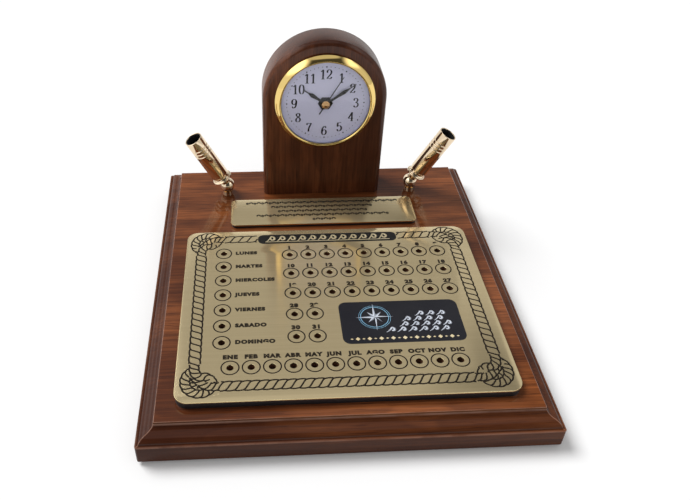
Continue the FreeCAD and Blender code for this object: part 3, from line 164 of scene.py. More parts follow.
def keep_place() -> None:
    """Write the active piece's place, turn and size into its mesh."""
    bpy.ops.object.transform_apply(location=True, rotation=True, scale=True)


def settle(piece: Piece, place: Matrix) -> Piece:
    """Move a piece and keep the move in its mesh.

    Args:
        piece: The piece to place.
        place: Where it goes, as a matrix in the object's frame.

    Returns:
        The same piece, with its object at the origin.
    """
    take(piece)
    piece.matrix_world = place @ piece.matrix_world
    keep_place()
    return piece


def smooth(piece: Piece) -> Piece:
    """Shade a piece smooth, with its real corners kept crisp."""
    take(piece)
    bpy.ops.object.shade_smooth_by_angle(angle=SMOOTH_ANGLE)
    return piece


def turned(name: str, stations: Line, sides: int = 64) -> Piece:
    """Model a turned piece about Z, as a ring that is extruded and resized from station to station.

    Args:
        name: The piece's name.
        stations: Radius and height of each ring, in order. A radius of zero closes the piece there, and a
            last station equal to the first closes a hollow section.
        sides: How many corners the ring has.

    Returns:
        The closed piece, with its faces outwards.
    """
    relax()
    radius, height = max(stations[0][0], TINY), stations[0][1]
    bpy.ops.mesh.primitive_circle_add(vertices=sides, radius=radius, location=(0, 0, height))
    piece = bpy.context.object
    piece.name = name
    keep_place()
    with editing(piece, Kind.VERTS):
        pick_all()
        for wide, high in stations[1:]:
            wide = max(wide, TINY)
            draw_out(0, 0, high - height)
            share = wide / radius
            bpy.ops.transform.resize(value=(share, share, 1), center_override=(0, 0, high))
            radius, height = wide, high
        face_out()
    return smooth(piece)


def bow(start: Point, middle: Point, end: Point, steps: int) -> Line:
    """Points on the arc through three points.

    Args:
        start: Where the arc begins; it isn't among the points returned.
        middle: A point that the arc passes.
        end: Where the arc ends.
        steps: How many points to return.

    Returns:
        Points after the start, up to and with the end.
    """
    (ax, ay), (bx, by), (cx, cy) = start, middle, end
    slant = 2 * (ax * (by - cy) + bx * (cy - ay) + cx * (ay - by))
    a2, b2, c2 = ax * ax + ay * ay, bx * bx + by * by, cx * cx + cy * cy
    ox = (a2 * (by - cy) + b2 * (cy - ay) + c2 * (ay - by)) / slant
    oy = (a2 * (cx - bx) + b2 * (ax - cx) + c2 * (bx - ax)) / slant
    radius = hypot(ax - ox, ay - oy)
    first = atan2(ay - oy, ax - ox)
    to_middle = (atan2(by - oy, bx - ox) - first) % tau
    to_end = (atan2(cy - oy, cx - ox) - first) % tau
    sweep = to_end if to_middle < to_end else to_end - tau
    angles = [first + sweep * step / steps for step in range(1, steps + 1)]
    return [(ox + radius * cos(angle), oy + radius * sin(angle)) for angle in angles]


def flowing(points: Line, steps: int = 6) -> Line:
    """Smooth curve through points.

    Args:
        points: Where it passes.
        steps: How many runs lie between two of them.

    Returns:
        Its points, or the points themselves where they are fewer than three.
    """
    if len(points) < 3:
        return list(points)
    ends = [points[0], *points, points[-1]]
    curve = [points[0]]
    for before, first, second, after in zip(ends, ends[1:], ends[2:], ends[3:]):
        for step in range(1, steps + 1):
            t = step / steps
            curve.append(tuple(
                0.5 * (2 * b + (c - a) * t + (2 * a - 5 * b + 4 * c - d) * t * t
                       + (3 * b - a - 3 * c + d) * t ** 3)
                for a, b, c, d in zip(before, first, second, after)))
    return curve


def layered(name: str, width: float, depth: float, centre: Point, levels: Line,
            corner: float = 0, corner_steps: int = 8) -> Piece:
    """Model a slab as a rectangle that is extruded and resized from level to level.

    Args:
        name: The piece's name.
        width: Full size along X.
        depth: Full size along Y.
        centre: Middle of the rectangle.
        levels: Inset and height of each level, from the bottom up.
        corner: Radius of the corners seen from above.
        corner_steps: Faces in each rounded corner.

    Returns:
        The closed slab.
    """
    relax()
    inset, height = levels[0]
    bpy.ops.mesh.primitive_plane_add(size=1, location=(*centre, height))
    piece = bpy.context.object
    piece.name = name
    span = [width - 2 * inset, depth - 2 * inset]
    piece.scale = (span[0], span[1], 1)
    keep_place()
    with editing(piece):
        pick_all()
        if corner:
            bpy.ops.mesh.bevel(offset=corner, segments=corner_steps, affect="VERTICES")
            pick(piece, Kind.FACES, lambda face: True)
        for inset, high in levels[1:]:
            draw_out(0, 0, high - height)
            shares = ((width - 2 * inset) / span[0], (depth - 2 * inset) / span[1], 1)
            bpy.ops.transform.resize(value=shares, center_override=(*centre, high))
            span = [width - 2 * inset, depth - 2 * inset]
            height = high
        face_out(merge=False)
    return piece


def combine(piece: Piece, tool: Piece, how: Solid) -> Piece:
    """Change a piece with a boolean modifier, apply it and throw the tool away.

    Args:
        piece: The piece to change.
        tool: The solid it is changed with.
        how: Whether the tool cuts or keeps.

    Returns:
        The changed piece.
    """
    modifier = piece.modifiers.new(how.name, "BOOLEAN")
    modifier.operation = how.value
    modifier.solver = "EXACT"
    modifier.object = tool
    take(piece)
    bpy.ops.object.modifier_apply(modifier=modifier.name)
    bpy.data.objects.remove(tool)
    return piece


def new_object(name: str, data: bpy.types.ID) -> Piece:
    """A new object in the scene for some data."""
    piece = bpy.data.objects.new(name, data)
    bpy.context.collection.objects.link(piece)
    return piece


def copied(piece: Piece, name: str, place: Matrix) -> Piece:
    """A finished piece again at another place, with a mesh of its own."""
    return settle(new_object(name, piece.data.copy()), place)


def gathered(name: str, pieces: Sequence[Piece]) -> Piece:
    """Join several pieces into one object.

    Args:
        name: Name of the joined piece.
        pieces: The pieces; the first one takes in the others.

    Returns:
        The joined piece.
    """
    relax()
    for piece in pieces:
        piece.select_set(True)
    bpy.context.view_layer.objects.active = pieces[0]
    if len(pieces) > 1:
        bpy.ops.object.join()
    pieces[0].name = name
    return pieces[0]


def repeated(name: str, piece: Piece, places: Line) -> Piece:
    """Repeat a piece modelled at the origin, at places on the board.

    Args:
        name: Name of the whole pattern.
        piece: The piece to repeat; it becomes part of the pattern.
        places: X and Y of each copy.

    Returns:
        One object that holds every copy.
    """
    copies = [copied(piece, name, Matrix.Translation((x, y, 0))) for x, y in places]
    bpy.data.objects.remove(piece)
    return gathered(name, copies)


# ---- printed lines, fills and letters
@dataclass
class Stroke:
    """A printed line with a width at each point, in the plane of its plate."""

    points: list[Point]
    widths: list[float]
    closed: bool = False

    @staticmethod
    def even(points: Line, width: float, closed: bool = False) -> "Stroke":
        """A line of one width."""
        return Stroke(list(points), [width] * len(points), closed)


INK_HEIGHT = 0.02 * MM
INK_LIFT = 0.01 * MM


def as_mesh(piece: Piece) -> Piece:
    """Turn a curve or a text into a mesh."""
    take(piece)
    bpy.ops.object.convert(target="MESH")
    return bpy.context.object


def drawn(name: str, strokes: Sequence[Stroke], **settings: object) -> Piece:
    """Draw strokes as a curve and make it a mesh.

    Args:
        name: The piece's name.
        strokes: Its lines.
        settings: Properties of the curve.

    Returns:
        The mesh, drawn at height zero.
    """
    curve = bpy.data.curves.new(name, "CURVE")
    for key, setting in settings.items():
        setattr(curve, key, setting)
    for stroke in strokes:
        spline = curve.splines.new("POLY")
        spline.points.add(len(stroke.points) - 1)
        for knot, (x, y), width in zip(spline.points, stroke.points, stroke.widths):
            knot.co = (x, y, 0, 1)
            knot.radius = width / 2
        spline.use_cyclic_u = stroke.closed
    return as_mesh(new_object(name, curve))


def printed_lines(name: str, lines: Sequence[Stroke], level: float) -> Piece:
    """Turn strokes into thin ink on a flat plate.

    Args:
        name: The piece's name.
        lines: The strokes, all in one piece.
        level: Height of the plate's surface.

    Returns:
        A mesh of low, closed ridges.
    """
    piece = drawn(name, lines, dimensions="3D", twist_mode="Z_UP", bevel_depth=1, bevel_resolution=0,
                  use_fill_caps=True)
    with editing(piece, Kind.VERTS):
        pick_all()
        half = max(max(line.widths) for line in lines) / 2
        bpy.ops.transform.resize(value=(1, 1, INK_HEIGHT / half), center_override=(0, 0, 0))
        bpy.ops.mesh.normals_make_consistent(inside=False)
    return settle(piece, Matrix.Translation((0, 0, level + INK_LIFT)))


def printed_fill(name: str, outlines: Sequence[Line], level: float, height: float = INK_HEIGHT) -> Piece:
    """Turn closed outlines into flat patches of ink.

    Args:
        name: The piece's name.
        outlines: Corner points of each patch. A patch inside another one is a hole in it.
        level: Height of the surface below.
        height: Thickness of the ink.

    Returns:
        A mesh of thin closed patches.
    """
    edges = [Stroke.even(outline, 2, closed=True) for outline in outlines]
    piece = drawn(name, edges, dimensions="2D", fill_mode="BOTH", extrude=height / 2)
    return settle(piece, Matrix.Translation((0, 0, level + height / 2)))


def circle(centre: Point, radius: float, sides: int, squash: float = 1) -> Line:
    """Corners of a circle, anticlockwise, or of an oval where it is squashed along Y."""
    angles = [tau * side / sides for side in range(sides)]
    return [(centre[0] + radius * cos(a), centre[1] + squash * radius * sin(a)) for a in angles]


@dataclass(frozen=True)
class Lettering:
    """Wide bold capitals and figures."""

    size: float
    spread: float
    weight: float
    spacing: float = 1

    def word(self, text: str, at: Point, level: float, left: bool = False) -> Piece:
        """Set one word.

        Args:
            text: The letters or figures.
            at: Middle of the word, or of its left end.
            level: Height of the surface below.
            left: Whether the word starts at its place instead of being centred on it.

        Returns:
            The word as a thin closed mesh.
        """
        relax()
        bpy.ops.object.text_add()
        piece = bpy.context.object
        letters = piece.data
        letters.body = text
        letters.size = self.size
        letters.align_x = "LEFT" if left else "CENTER"
        letters.align_y = "CENTER"
        letters.offset = self.weight
        letters.space_character = self.spacing
        letters.extrude = INK_HEIGHT / 2
        letters.resolution_u = 3
        widen = Matrix.Diagonal((self.spread, 1, 1, 1))
        return settle(as_mesh(piece), Matrix.Translation((*at, level + INK_HEIGHT / 2)) @ widen)


def rounded_outline(width: float, depth: float, corner: float, centre: Point, steps: int = 6) -> Line:
    """Corner points of a rounded rectangle, anticlockwise.

    Args:
        width: Full size along X.
        depth: Full size along Y.
        corner: Radius of the corners.
        centre: Middle of the rectangle.
        steps: Straight runs in each corner.

    Returns:
        The points in order.
    """
    points = []
    for turn, (sx, sy) in enumerate(((1, 1), (-1, 1), (-1, -1), (1, -1))):
        ox = centre[0] + sx * (width / 2 - corner)
        oy = centre[1] + sy * (depth / 2 - corner)
        for step in range(steps + 1):
            angle = radians(90 * turn + 90 * step / steps)
            points.append((ox + corner * cos(angle), oy + corner * sin(angle)))
    return points


# ---- shader graphs
class Graph:
    """Adds nodes to a material or a node group and links them."""

    def __init__(self, tree: bpy.types.NodeTree) -> None:
        """Work on one tree."""
        self.tree = tree

    def add(self, kind: str, values: dict | None = None, **settings: object) -> Given:
        """Add a node.

        Args:
            kind: The node's type, without its ShaderNode prefix.
            values: For each input, by name or number, a number, a colour or another node's output.
            settings: Properties of the node itself.

        Returns:
            The new node's outputs.
        """
        node = self.tree.nodes.new("ShaderNode" + kind)
        for key, setting in settings.items():
            setattr(node, key, setting)
        for key, value in (values or {}).items():
            self.feed(node.inputs[key], value)
        return node.outputs

    def feed(self, socket: Socket, value: object) -> None:
        """Link an output to an input, or set the input to a constant."""
        if isinstance(value, Socket):
            self.tree.links.new(value, socket)
        elif socket.type == "RGBA" and len(value) == 3:
            socket.default_value = (*value, 1)
        else:
            socket.default_value = value

    def math(self, operation: str, first: object, second: object = 0, clamp: bool = False) -> Socket:
        """Result of a Math node."""
        return self.add("Math", {0: first, 1: second}, operation=operation, use_clamp=clamp)[0]

    def times(self, first: object, second: object) -> Socket:
        """Product of two values."""
        return self.math("MULTIPLY", first, second)

    def near(self, distance: object, reach: object) -> Socket:
        """One at no distance, falling to zero at the reach."""
        share = self.math("DIVIDE", self.math("ABSOLUTE", distance), reach)
        return self.math("SUBTRACT", 1, share, clamp=True)

    def axes(self, vector: object) -> Given:
        """The X, Y and Z of a vector."""
        return self.add("SeparateXYZ", {0: vector})

    def noise(self, vector: object, scale: float, detail: float = 2, rough: float = 0.5) -> Socket:
        """Value of a noise texture, about 0.5 in the middle."""
        values = {"Vector": vector, "Scale": scale, "Detail": detail, "Roughness": rough}
        return self.add("TexNoise", values)[0]

    def band(self, value: object, low: float, high: float, start: float = 0, end: float = 1) -> Socket:
        """Value carried smoothly from one range to another and held at its ends."""
        values = {"Value": value, "From Min": low, "From Max": high, "To Min": start, "To Max": end}
        return self.add("MapRange", values, interpolation_type="SMOOTHSTEP")[0]

    def blend(self, factor: object, first: object, second: object) -> Socket:
        """Colour between two colours."""
        return self.add("Mix", {0: factor, 6: first, 7: second}, data_type="RGBA")[2]

    def mix(self, share: object, first: object, second: object) -> Socket:
        """Value between two values."""
        return self.add("Mix", {0: share, 2: first, 3: second})[0]

    def place(self, vector: object, scale: Triple, turn: Triple = (0, 0, 0)) -> Socket:
        """Coordinates stretched and turned by a Mapping node."""
        return self.add("Mapping", {"Vector": vector, "Scale": scale, "Rotation": turn})[0]

    def coordinates(self, kind: str = "Object") -> Socket:
        """Coordinates; by default the piece's own, in metres."""
        return self.add("TexCoord")[kind]

    def bump(self, height: object, strength: float, depth: float) -> Socket:
        """Normal tilted by a height pattern."""
        return self.add("Bump", {"Height": height, "Strength": strength, "Distance": depth})[0]


@dataclass(frozen=True)
class Recipe:
    """A node group that is built once, with a vector, named inputs and outputs."""

    name: str
    cook: Callable[[Graph, Given], Given]
    inputs: tuple[tuple[str, object], ...]
    outputs: tuple[str, ...]

    def tree(self) -> bpy.types.NodeTree:
        """The group's node tree, made at its first use."""
        known = bpy.data.node_groups.get(self.name)
        if known:
            return known
        tree = bpy.data.node_groups.new(self.name, "ShaderNodeTree")
        tree.interface.new_socket("Vector", in_out="INPUT", socket_type="NodeSocketVector")
        for name, value in self.inputs:
            kind = "NodeSocketColor" if isinstance(value, tuple) else "NodeSocketFloat"
            tree.interface.new_socket(name, in_out="INPUT", socket_type=kind).default_value = value
        for name in self.outputs:
            kind = "NodeSocketColor" if name == "Color" else "NodeSocketFloat"
            tree.interface.new_socket(name, in_out="OUTPUT", socket_type=kind)
        entry = tree.nodes.new("NodeGroupInput")
        leave = tree.nodes.new("NodeGroupOutput")
        for name, result in self.cook(Graph(tree), entry.outputs).items():
            tree.links.new(result, leave.inputs[name])
        return tree

    def use(self, graph: Graph, **values: object) -> Given:
        """Place the group in a material.

        Args:
            graph: The material's graph.
            values: Inputs by name, with an underscore for each space. The vector is the piece's own
                coordinates if it isn't given.

        Returns:
            The group's outputs by name.
        """
        node = graph.tree.nodes.new("ShaderNodeGroup")
        node.node_tree = self.tree()
        if "Vector" not in values:
            values["Vector"] = graph.coordinates()
        for key, value in values.items():
            graph.feed(node.inputs[key.replace("_", " ")], value)
        return node.outputs


HEART_OF_TREE = (0, 0.062, 0.11)


def cook_figure(graph: Graph, given: Given) -> Given:
    """Growth rings, fibres and pores of wood whose grain runs along the vector's X.

    Args:
        graph: The group's graph.
        given: Its inputs.

    Returns:
        Its outputs.
    """
    grain = given["Vector"]
    wander = graph.noise(graph.place(grain, (2.2, 5, 5)), 3, 3)
    ripple = graph.noise(graph.place(grain, (4, 40, 40)), 2, 2)
    axes = graph.axes(graph.add("VectorMath", {0: grain, 1: HEART_OF_TREE})[0])
    across = graph.math("POWER", axes["Y"], 2)
    deep = graph.math("POWER", axes["Z"], 2)
    radius = graph.math("SQRT", graph.math("ADD", across, deep))
    bent = graph.math("ADD", radius, graph.times(wander, given["Wander"]))
    bent = graph.math("ADD", bent, graph.times(ripple, 0.0016))
    rings = graph.math("FRACT", graph.math("DIVIDE", bent, given["Ring Width"]))
    late = graph.math("POWER", rings, 2.4)
    late = graph.times(late, graph.band(rings, 0.92, 1, 1, 0))
    broad = graph.band(graph.noise(graph.place(grain, (7, 19, 19)), 1, 4, 0.6), 0.38, 0.62)
    fibre = graph.noise(graph.place(grain, (16, 620, 620)), 1, 3, 0.6)
    pore = graph.noise(graph.place(grain, (60, 1500, 1500)), 1, 1)
    pore = graph.band(pore, 0.6, 0.7)
    colour = graph.blend(broad, given["Middle"], given["Light"])
    colour = graph.blend(graph.times(late, given["Ring Depth"]), colour, given["Dark"])
    streak = graph.band(fibre, 0.3, 0.7)
    shade = graph.times(graph.math("SUBTRACT", 1, streak), given["Fibre"])
    colour = graph.blend(shade, colour, given["Dark"])
    colour = graph.blend(graph.times(pore, 0.55), colour, given["Dark"])
    height = graph.math("SUBTRACT", graph.times(fibre, 0.3), pore)
    return {"Color": colour, "Height": height}


FIGURE = Recipe(
    "Wood figure", cook_figure,
    (("Light", (0.3, 0.12, 0.05, 1)), ("Middle", (0.2, 0.07, 0.03, 1)), ("Dark", (0.05, 0.02, 0.01, 1)),
     ("Ring Width", 0.012), ("Ring Depth", 0.7), ("Wander", 0.02), ("Fibre", 0.4)), ("Color", "Height"))


def cook_arrises(graph: Graph, given: Given) -> Given:
    """Painted highlight lines along the upper arrises, mitres and outer rim of a board with a moulded edge on
    four sides, and the mask of that edge.

    Args:
        graph: The group's graph.
        given: Its inputs.

    Returns:
        Its outputs.
    """
    axes = graph.axes(given["Vector"])
    from_side = graph.math("SUBTRACT", given["Half Width"], graph.math("ABSOLUTE", axes["X"]))
    from_end = graph.math("SUBTRACT", given["Half Depth"], graph.math("ABSOLUTE", axes["Y"]))
    inset = graph.math("MINIMUM", from_side, from_end)
    line = given["Line"]
    top = graph.near(graph.math("SUBTRACT", inset, given["Run"]), line)
    sloping = graph.math("LESS_THAN", inset, given["Run"])
    mitre = graph.times(graph.near(graph.math("SUBTRACT", from_side, from_end), line), sloping)
    rim = graph.near(inset, graph.times(line, 2.2))
    upper = graph.math("GREATER_THAN", axes["Z"], given["Shoulder"])
    # Breaks the painted highlight lines into uneven patches.
    highlight_breakup = graph.band(graph.noise(given["Vector"], 60, 3), 0.3, 0.6, 0.35, 1)
    mask = graph.math("MAXIMUM", graph.math("MAXIMUM", top, mitre), graph.times(rim, 0.6))
    mask = graph.times(mask, upper)
    return {"Mask": graph.times(mask, highlight_breakup), "Edge": sloping}


ARRIS_HIGHLIGHTS = Recipe(
    "Arris lines", cook_arrises,
    (("Half Width", 0.1), ("Half Depth", 0.1), ("Run", 0.01), ("Shoulder", 0.01), ("Line", 0.0006)),
    ("Mask", "Edge"))


def cook_brushing(graph: Graph, given: Given) -> Given:
    """Fine straight scratches along the vector's X, in long uneven strokes.

    Args:
        graph: The group's graph.
        given: Its inputs.

    Returns:
        Its outputs.
    """
    vector = given["Vector"]
    fine = graph.noise(graph.place(vector, (14, 4200, 4200)), 1, 2)
    coarse = graph.noise(graph.place(vector, (4, 900, 900)), 1, 2)
    tone = graph.math("ADD", graph.times(fine, 0.6), graph.times(coarse, 0.4))
    return {"Tone": graph.band(tone, 0.3, 0.7), "Height": fine}


BRUSHING = Recipe("Brushing", cook_brushing, (), ("Tone", "Height"))


def cook_handling(graph: Graph, given: Given) -> Given:
    """Uneven film of handling marks and settled dust.

    Args:
        graph: The group's graph.
        given: Its inputs.

    Returns:
        Its outputs.
    """
    vector = given["Vector"]
    cloud = graph.band(graph.noise(vector, 22, 4, 0.6), 0.38, 0.66)
    grit = graph.band(graph.noise(vector, 1900, 1), 0.7, 0.76)
    film = graph.times(cloud, given["Film"])
    specks = graph.times(grit, given["Dust"])
    return {"Mask": graph.math("ADD", film, specks, clamp=True), "Specks": specks}


HANDLING = Recipe("Handling", cook_handling, (("Film", 0.5), ("Dust", 0.3)), ("Mask", "Specks"))


def cook_moulding(graph: Graph, given: Given) -> Given:
    """Slight texture and uneven tone of moulded or painted surfaces.

    Args:
        graph: The group's graph.
        given: Its inputs.

    Returns:
        Its outputs.
    """
    vector = given["Vector"]
    grain = graph.noise(vector, given["Grain"], 2)
    cloud = graph.noise(vector, 45, 3)
    tone = graph.math("ADD", graph.times(grain, 0.35), graph.times(cloud, 0.65))
    return {"Tone": graph.band(tone, 0.35, 0.65), "Height": grain}


MOULDING = Recipe("Moulding", cook_moulding, (("Grain", 2500),), ("Tone", "Height"))


# ---- finishes
MATERIALS: dict[str, bpy.types.Material] = {}


@dataclass(frozen=True)
class Finish:
    """A finish that becomes one material."""

    name: str

    def material(self) -> bpy.types.Material:
        """The finish's material, made at its first use."""
        if self.name not in MATERIALS:
            material = bpy.data.materials.new(self.name)
            material.use_nodes = True
            material.node_tree.nodes.clear()
            graph = Graph(material.node_tree)
            graph.add("OutputMaterial", {"Surface": self.shade(graph)})
            MATERIALS[self.name] = material
        return MATERIALS[self.name]

    def shade(self, graph: Graph) -> Socket:
        """Build the shader in a material's graph and give its output."""
        raise NotImplementedError


@dataclass(frozen=True)
class LacqueredWood(Finish):
    """Dark hardwood under clear lacquer."""

    light: Colour
    middle: Colour
    dark: Colour
    grain_turn: Triple
    ring_width: float
    ring_depth: float
    wander: float
    fibre: float
    # Colour of the painted highlight lines along the board's arrises.
    rubbed: Colour
    coat: float = 1
    coat_roughness: float = 0.1
    edge_share: float = 0.42
    end_grain: float = 0.3
    board: dict[str, float] | None = None

    def shade(self, graph: Graph) -> Socket:
        """Wood figure with lacquer; where the board is given, painted shade on its moulded edge and painted
        highlights along its arrises.
        """
        grain = graph.place(graph.coordinates(), (1, 1, 1), self.grain_turn)
        wood = FIGURE.use(graph, Vector=grain, Light=self.light, Middle=self.middle, Dark=self.dark,
                          Ring_Width=self.ring_width, Ring_Depth=self.ring_depth, Wander=self.wander,
                          Fibre=self.fibre)
        facing = graph.place(graph.coordinates("Normal"), (1, 1, 1), self.grain_turn)
        along = graph.math("ABSOLUTE", graph.axes(facing)["X"])
        drunk = graph.band(along, 0.3, 0.95, 0, self.end_grain)
        colour = graph.blend(drunk, wood["Color"], self.dark)
        lacquer = self.coat
        if self.board:
            lines = ARRIS_HIGHLIGHTS.use(graph, **self.board)
            # Painted shade: the moulded edge and the sides below it are darkened towards the dark colour.
            shaded_edge_colour = graph.blend(graph.times(lines["Edge"], 0.6), colour, self.dark)
            # Painted highlight: pale lines along the upper arrises, mitres and outer rim.
            colour = graph.blend(graph.times(lines["Mask"], 0.62), shaded_edge_colour, self.rubbed)
            lacquer = graph.band(lines["Edge"], 0, 1, self.coat, self.coat * self.edge_share)
        marks = HANDLING.use(graph, Film=0.5, Dust=0.12)
        colour = graph.blend(graph.times(marks["Specks"], 0.4), colour, (0.3, 0.25, 0.21))
        rough = graph.band(marks["Mask"], 0, 1, 0.38, 0.56)
        coat = graph.times(lacquer, graph.band(marks["Mask"], 0, 1, 1, 0.86))
        return graph.add("BsdfPrincipled", {
            "Base Color": colour, "Roughness": rough, "Coat Weight": coat,
            "Coat Roughness": self.coat_roughness, "Coat IOR": 1.5, "Specular IOR Level": 0,
            "Normal": graph.bump(wood["Height"], 0.25, 0.05 * MM)})[0]


@dataclass(frozen=True)
class BrushedBrass(Finish):
    """Satin brass sheet, brushed along X."""

    colour: Colour
    deep: Colour
    roughness: float

    def shade(self, graph: Graph) -> Socket:
        """Brushed metal whose highlights run across the brushing."""
        lines = BRUSHING.use(graph)
        marks = HANDLING.use(graph, Film=0.6, Dust=0)
        colour = graph.blend(lines["Tone"], self.deep, self.colour)
        colour = graph.blend(graph.times(marks["Mask"], 0.12), colour, self.deep)
        rough = graph.band(marks["Mask"], 0, 1, self.roughness, self.roughness * 1.15)
        return graph.add("BsdfPrincipled", {
            "Base Color": colour, "Metallic": 0.72, "Roughness": rough, "Anisotropic": 1,
            "Anisotropic Rotation": 0.25,
            "Tangent": graph.add("Tangent", direction_type="RADIAL", axis="Y")[0],
            "Normal": graph.bump(lines["Height"], 0.08, 0.01 * MM)})[0]


@dataclass(frozen=True)
class PolishedMetal(Finish):
    """Plated or polished metal with a thin film of handling marks."""

    colour: Colour
    tarnish: Colour
    roughness: float
    film: float = 0.4

    def shade(self, graph: Graph) -> Socket:
        """Mirror-like metal, a little duller where it is handled."""
        marks = HANDLING.use(graph, Film=self.film, Dust=0.1)
        fine = MOULDING.use(graph, Grain=1400)
        colour = graph.blend(graph.times(marks["Mask"], 0.45), self.colour, self.tarnish)
        rough = graph.band(marks["Mask"], 0, 1, self.roughness, self.roughness + 0.1)
        return graph.add("BsdfPrincipled", {
            "Base Color": colour, "Metallic": 1, "Roughness": rough,
            "Normal": graph.bump(fine["Height"], 0.06, 0.01 * MM)})[0]


@dataclass(frozen=True)
class Coated(Finish):
    """Paint, ink, plastic, rubber or felt: a body colour with a slight grain."""

    colour: Colour
    other: Colour
    roughness: float
    grain: float = 2500
    relief: float = 0.1
    sheen: float = 0
    gloss: float = 0
    metallic: float = 0
    shine: float = 0.35

    def shade(self, graph: Graph) -> Socket:
        """Two close tones, a slight relief and dust."""
        body = MOULDING.use(graph, Grain=self.grain)
        marks = HANDLING.use(graph, Film=0.3, Dust=0.2)
        colour = graph.blend(body["Tone"], self.colour, self.other)
        rough = graph.band(marks["Mask"], 0, 1, self.roughness, min(self.roughness + 0.12, 1))
        return graph.add("BsdfPrincipled", {
            "Base Color": colour, "Metallic": self.metallic, "Roughness": rough, "Sheen Weight": self.sheen,
            "Specular IOR Level": self.shine, "Coat Weight": self.gloss, "Coat Roughness": 0.1,
            "Normal": graph.bump(body["Height"], self.relief, 0.03 * MM)})[0]


@dataclass(frozen=True)
class WoundWire(Finish):
    """Enamelled wire wound round X."""

    colour: Colour
    # Colour of the painted shade between the turns.
    gap: Colour
    turns_per_metre: float

    def shade(self, graph: Graph) -> Socket:
        """Close turns with painted shade in the gaps between them."""
        along = graph.axes(graph.coordinates())["X"]
        wave = graph.math("PINGPONG", graph.times(along, self.turns_per_metre), 1)
        marks = HANDLING.use(graph, Film=0.5, Dust=0.2)
        colour = graph.blend(graph.band(wave, 0, 0.5), self.gap, self.colour)
        rough = graph.band(marks["Mask"], 0, 1, 0.25, 0.4)
        return graph.add("BsdfPrincipled", {
            "Base Color": colour, "Metallic": 0.6, "Roughness": rough, "Coat Weight": 0.5,
            "Normal": graph.bump(wave, 0.8, 0.05 * MM)})[0]


@dataclass(frozen=True)
class ClearGlass(Finish):
    """Clear lens that lets lamps shine through."""

    tint: Colour
    roughness: float = 0.01

    def shade(self, graph: Graph) -> Socket:
        """Glass for the eye and a clear pane for the lamps."""
        marks = HANDLING.use(graph, Film=0.2, Dust=0.12)
        rough = graph.band(marks["Mask"], 0, 1, self.roughness, self.roughness + 0.05)
        glass = graph.add("BsdfPrincipled", {
            "Base Color": self.tint, "Roughness": rough, "IOR": 1.3, "Transmission Weight": 1})
        clear = graph.add("BsdfTransparent", {0: (0.94, 0.95, 0.96)})
        shadow = graph.add("LightPath")["Is Shadow Ray"]
        return graph.add("MixShader", {0: shadow, 1: glass[0], 2: clear[0]})[0]


@dataclass(frozen=True)
class StudioWhite(Finish):
    """Floor that shows white to the eye, to metal and to glass, and keeps shadows."""

    colour: Colour
    lift: float

    def shade(self, graph: Graph) -> Socket:
        """Matt white with a little light of its own, for sight only."""
        paper = graph.add("BsdfDiffuse", {"Color": self.colour})
        seen = graph.add("LightPath")
        look = graph.math("MAXIMUM", seen["Is Camera Ray"], seen["Is Glossy Ray"])
        lit = graph.times(graph.math("MAXIMUM", look, seen["Is Transmission Ray"]), self.lift)
        glow = graph.add("Emission", {"Color": (1, 1, 1), "Strength": lit})
        return graph.add("AddShader", {0: paper[0], 1: glow[0]})[0]


# ---- the finishes of this set
GRAIN_ALONG_X = (0, 0, 0)
GRAIN_ALONG_Z = (0, radians(90), 0)

BOARD_LOW, BOARD_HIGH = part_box("base_board")
ARCH_LOW, ARCH_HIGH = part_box("clock_arch")
ARCH_MIDDLE = (ARCH_LOW + ARCH_HIGH) / 2
SCREW_SPAN = 50 * MM
EDGE_RUN = 10.5 * MM
EDGE_DROP = 9 * MM
EDGE_LEDGE = 1.8 * MM

# The last colour of each wood is its painted arris highlight; only the board, which has the arris mask, shows
# it.
BOARD_WOOD = LacqueredWood(
    "board_lacquer", (0.29, 0.088, 0.026), (0.118, 0.032, 0.01), (0.032, 0.009, 0.005), GRAIN_ALONG_X, 0.015,
    0.4, 0.05, 0.5, (0.42, 0.22, 0.15),
    board={"Half_Width": BOARD_HIGH.x, "Half_Depth": BOARD_HIGH.y, "Run": EDGE_RUN,
           "Shoulder": BOARD_HIGH.z - EDGE_DROP - 0.6 * MM})
BLOCK_WOOD = LacqueredWood(
    "block_lacquer", (0.19, 0.058, 0.021), (0.082, 0.024, 0.01), (0.024, 0.007, 0.004), GRAIN_ALONG_Z, 0.0125,
    0.38, 0.035, 0.45, (0.36, 0.2, 0.14), coat=0.6, coat_roughness=0.22, end_grain=0.62)
RAW_WOOD = LacqueredWood(
    "drilled_wood", (0.2, 0.085, 0.04), (0.13, 0.055, 0.028), (0.05, 0.02, 0.012), GRAIN_ALONG_X, 0.012,
    0.5, 0.02, 0.5, (0.3, 0.2, 0.1), coat=0)
PLATE_BRASS = BrushedBrass("satin_brass", (0.7, 0.57, 0.335), (0.63, 0.51, 0.295), 0.14)
EDGE_BRASS = PolishedMetal("cut_brass_edge", (0.8, 0.66, 0.36), (0.45, 0.34, 0.18), 0.22)
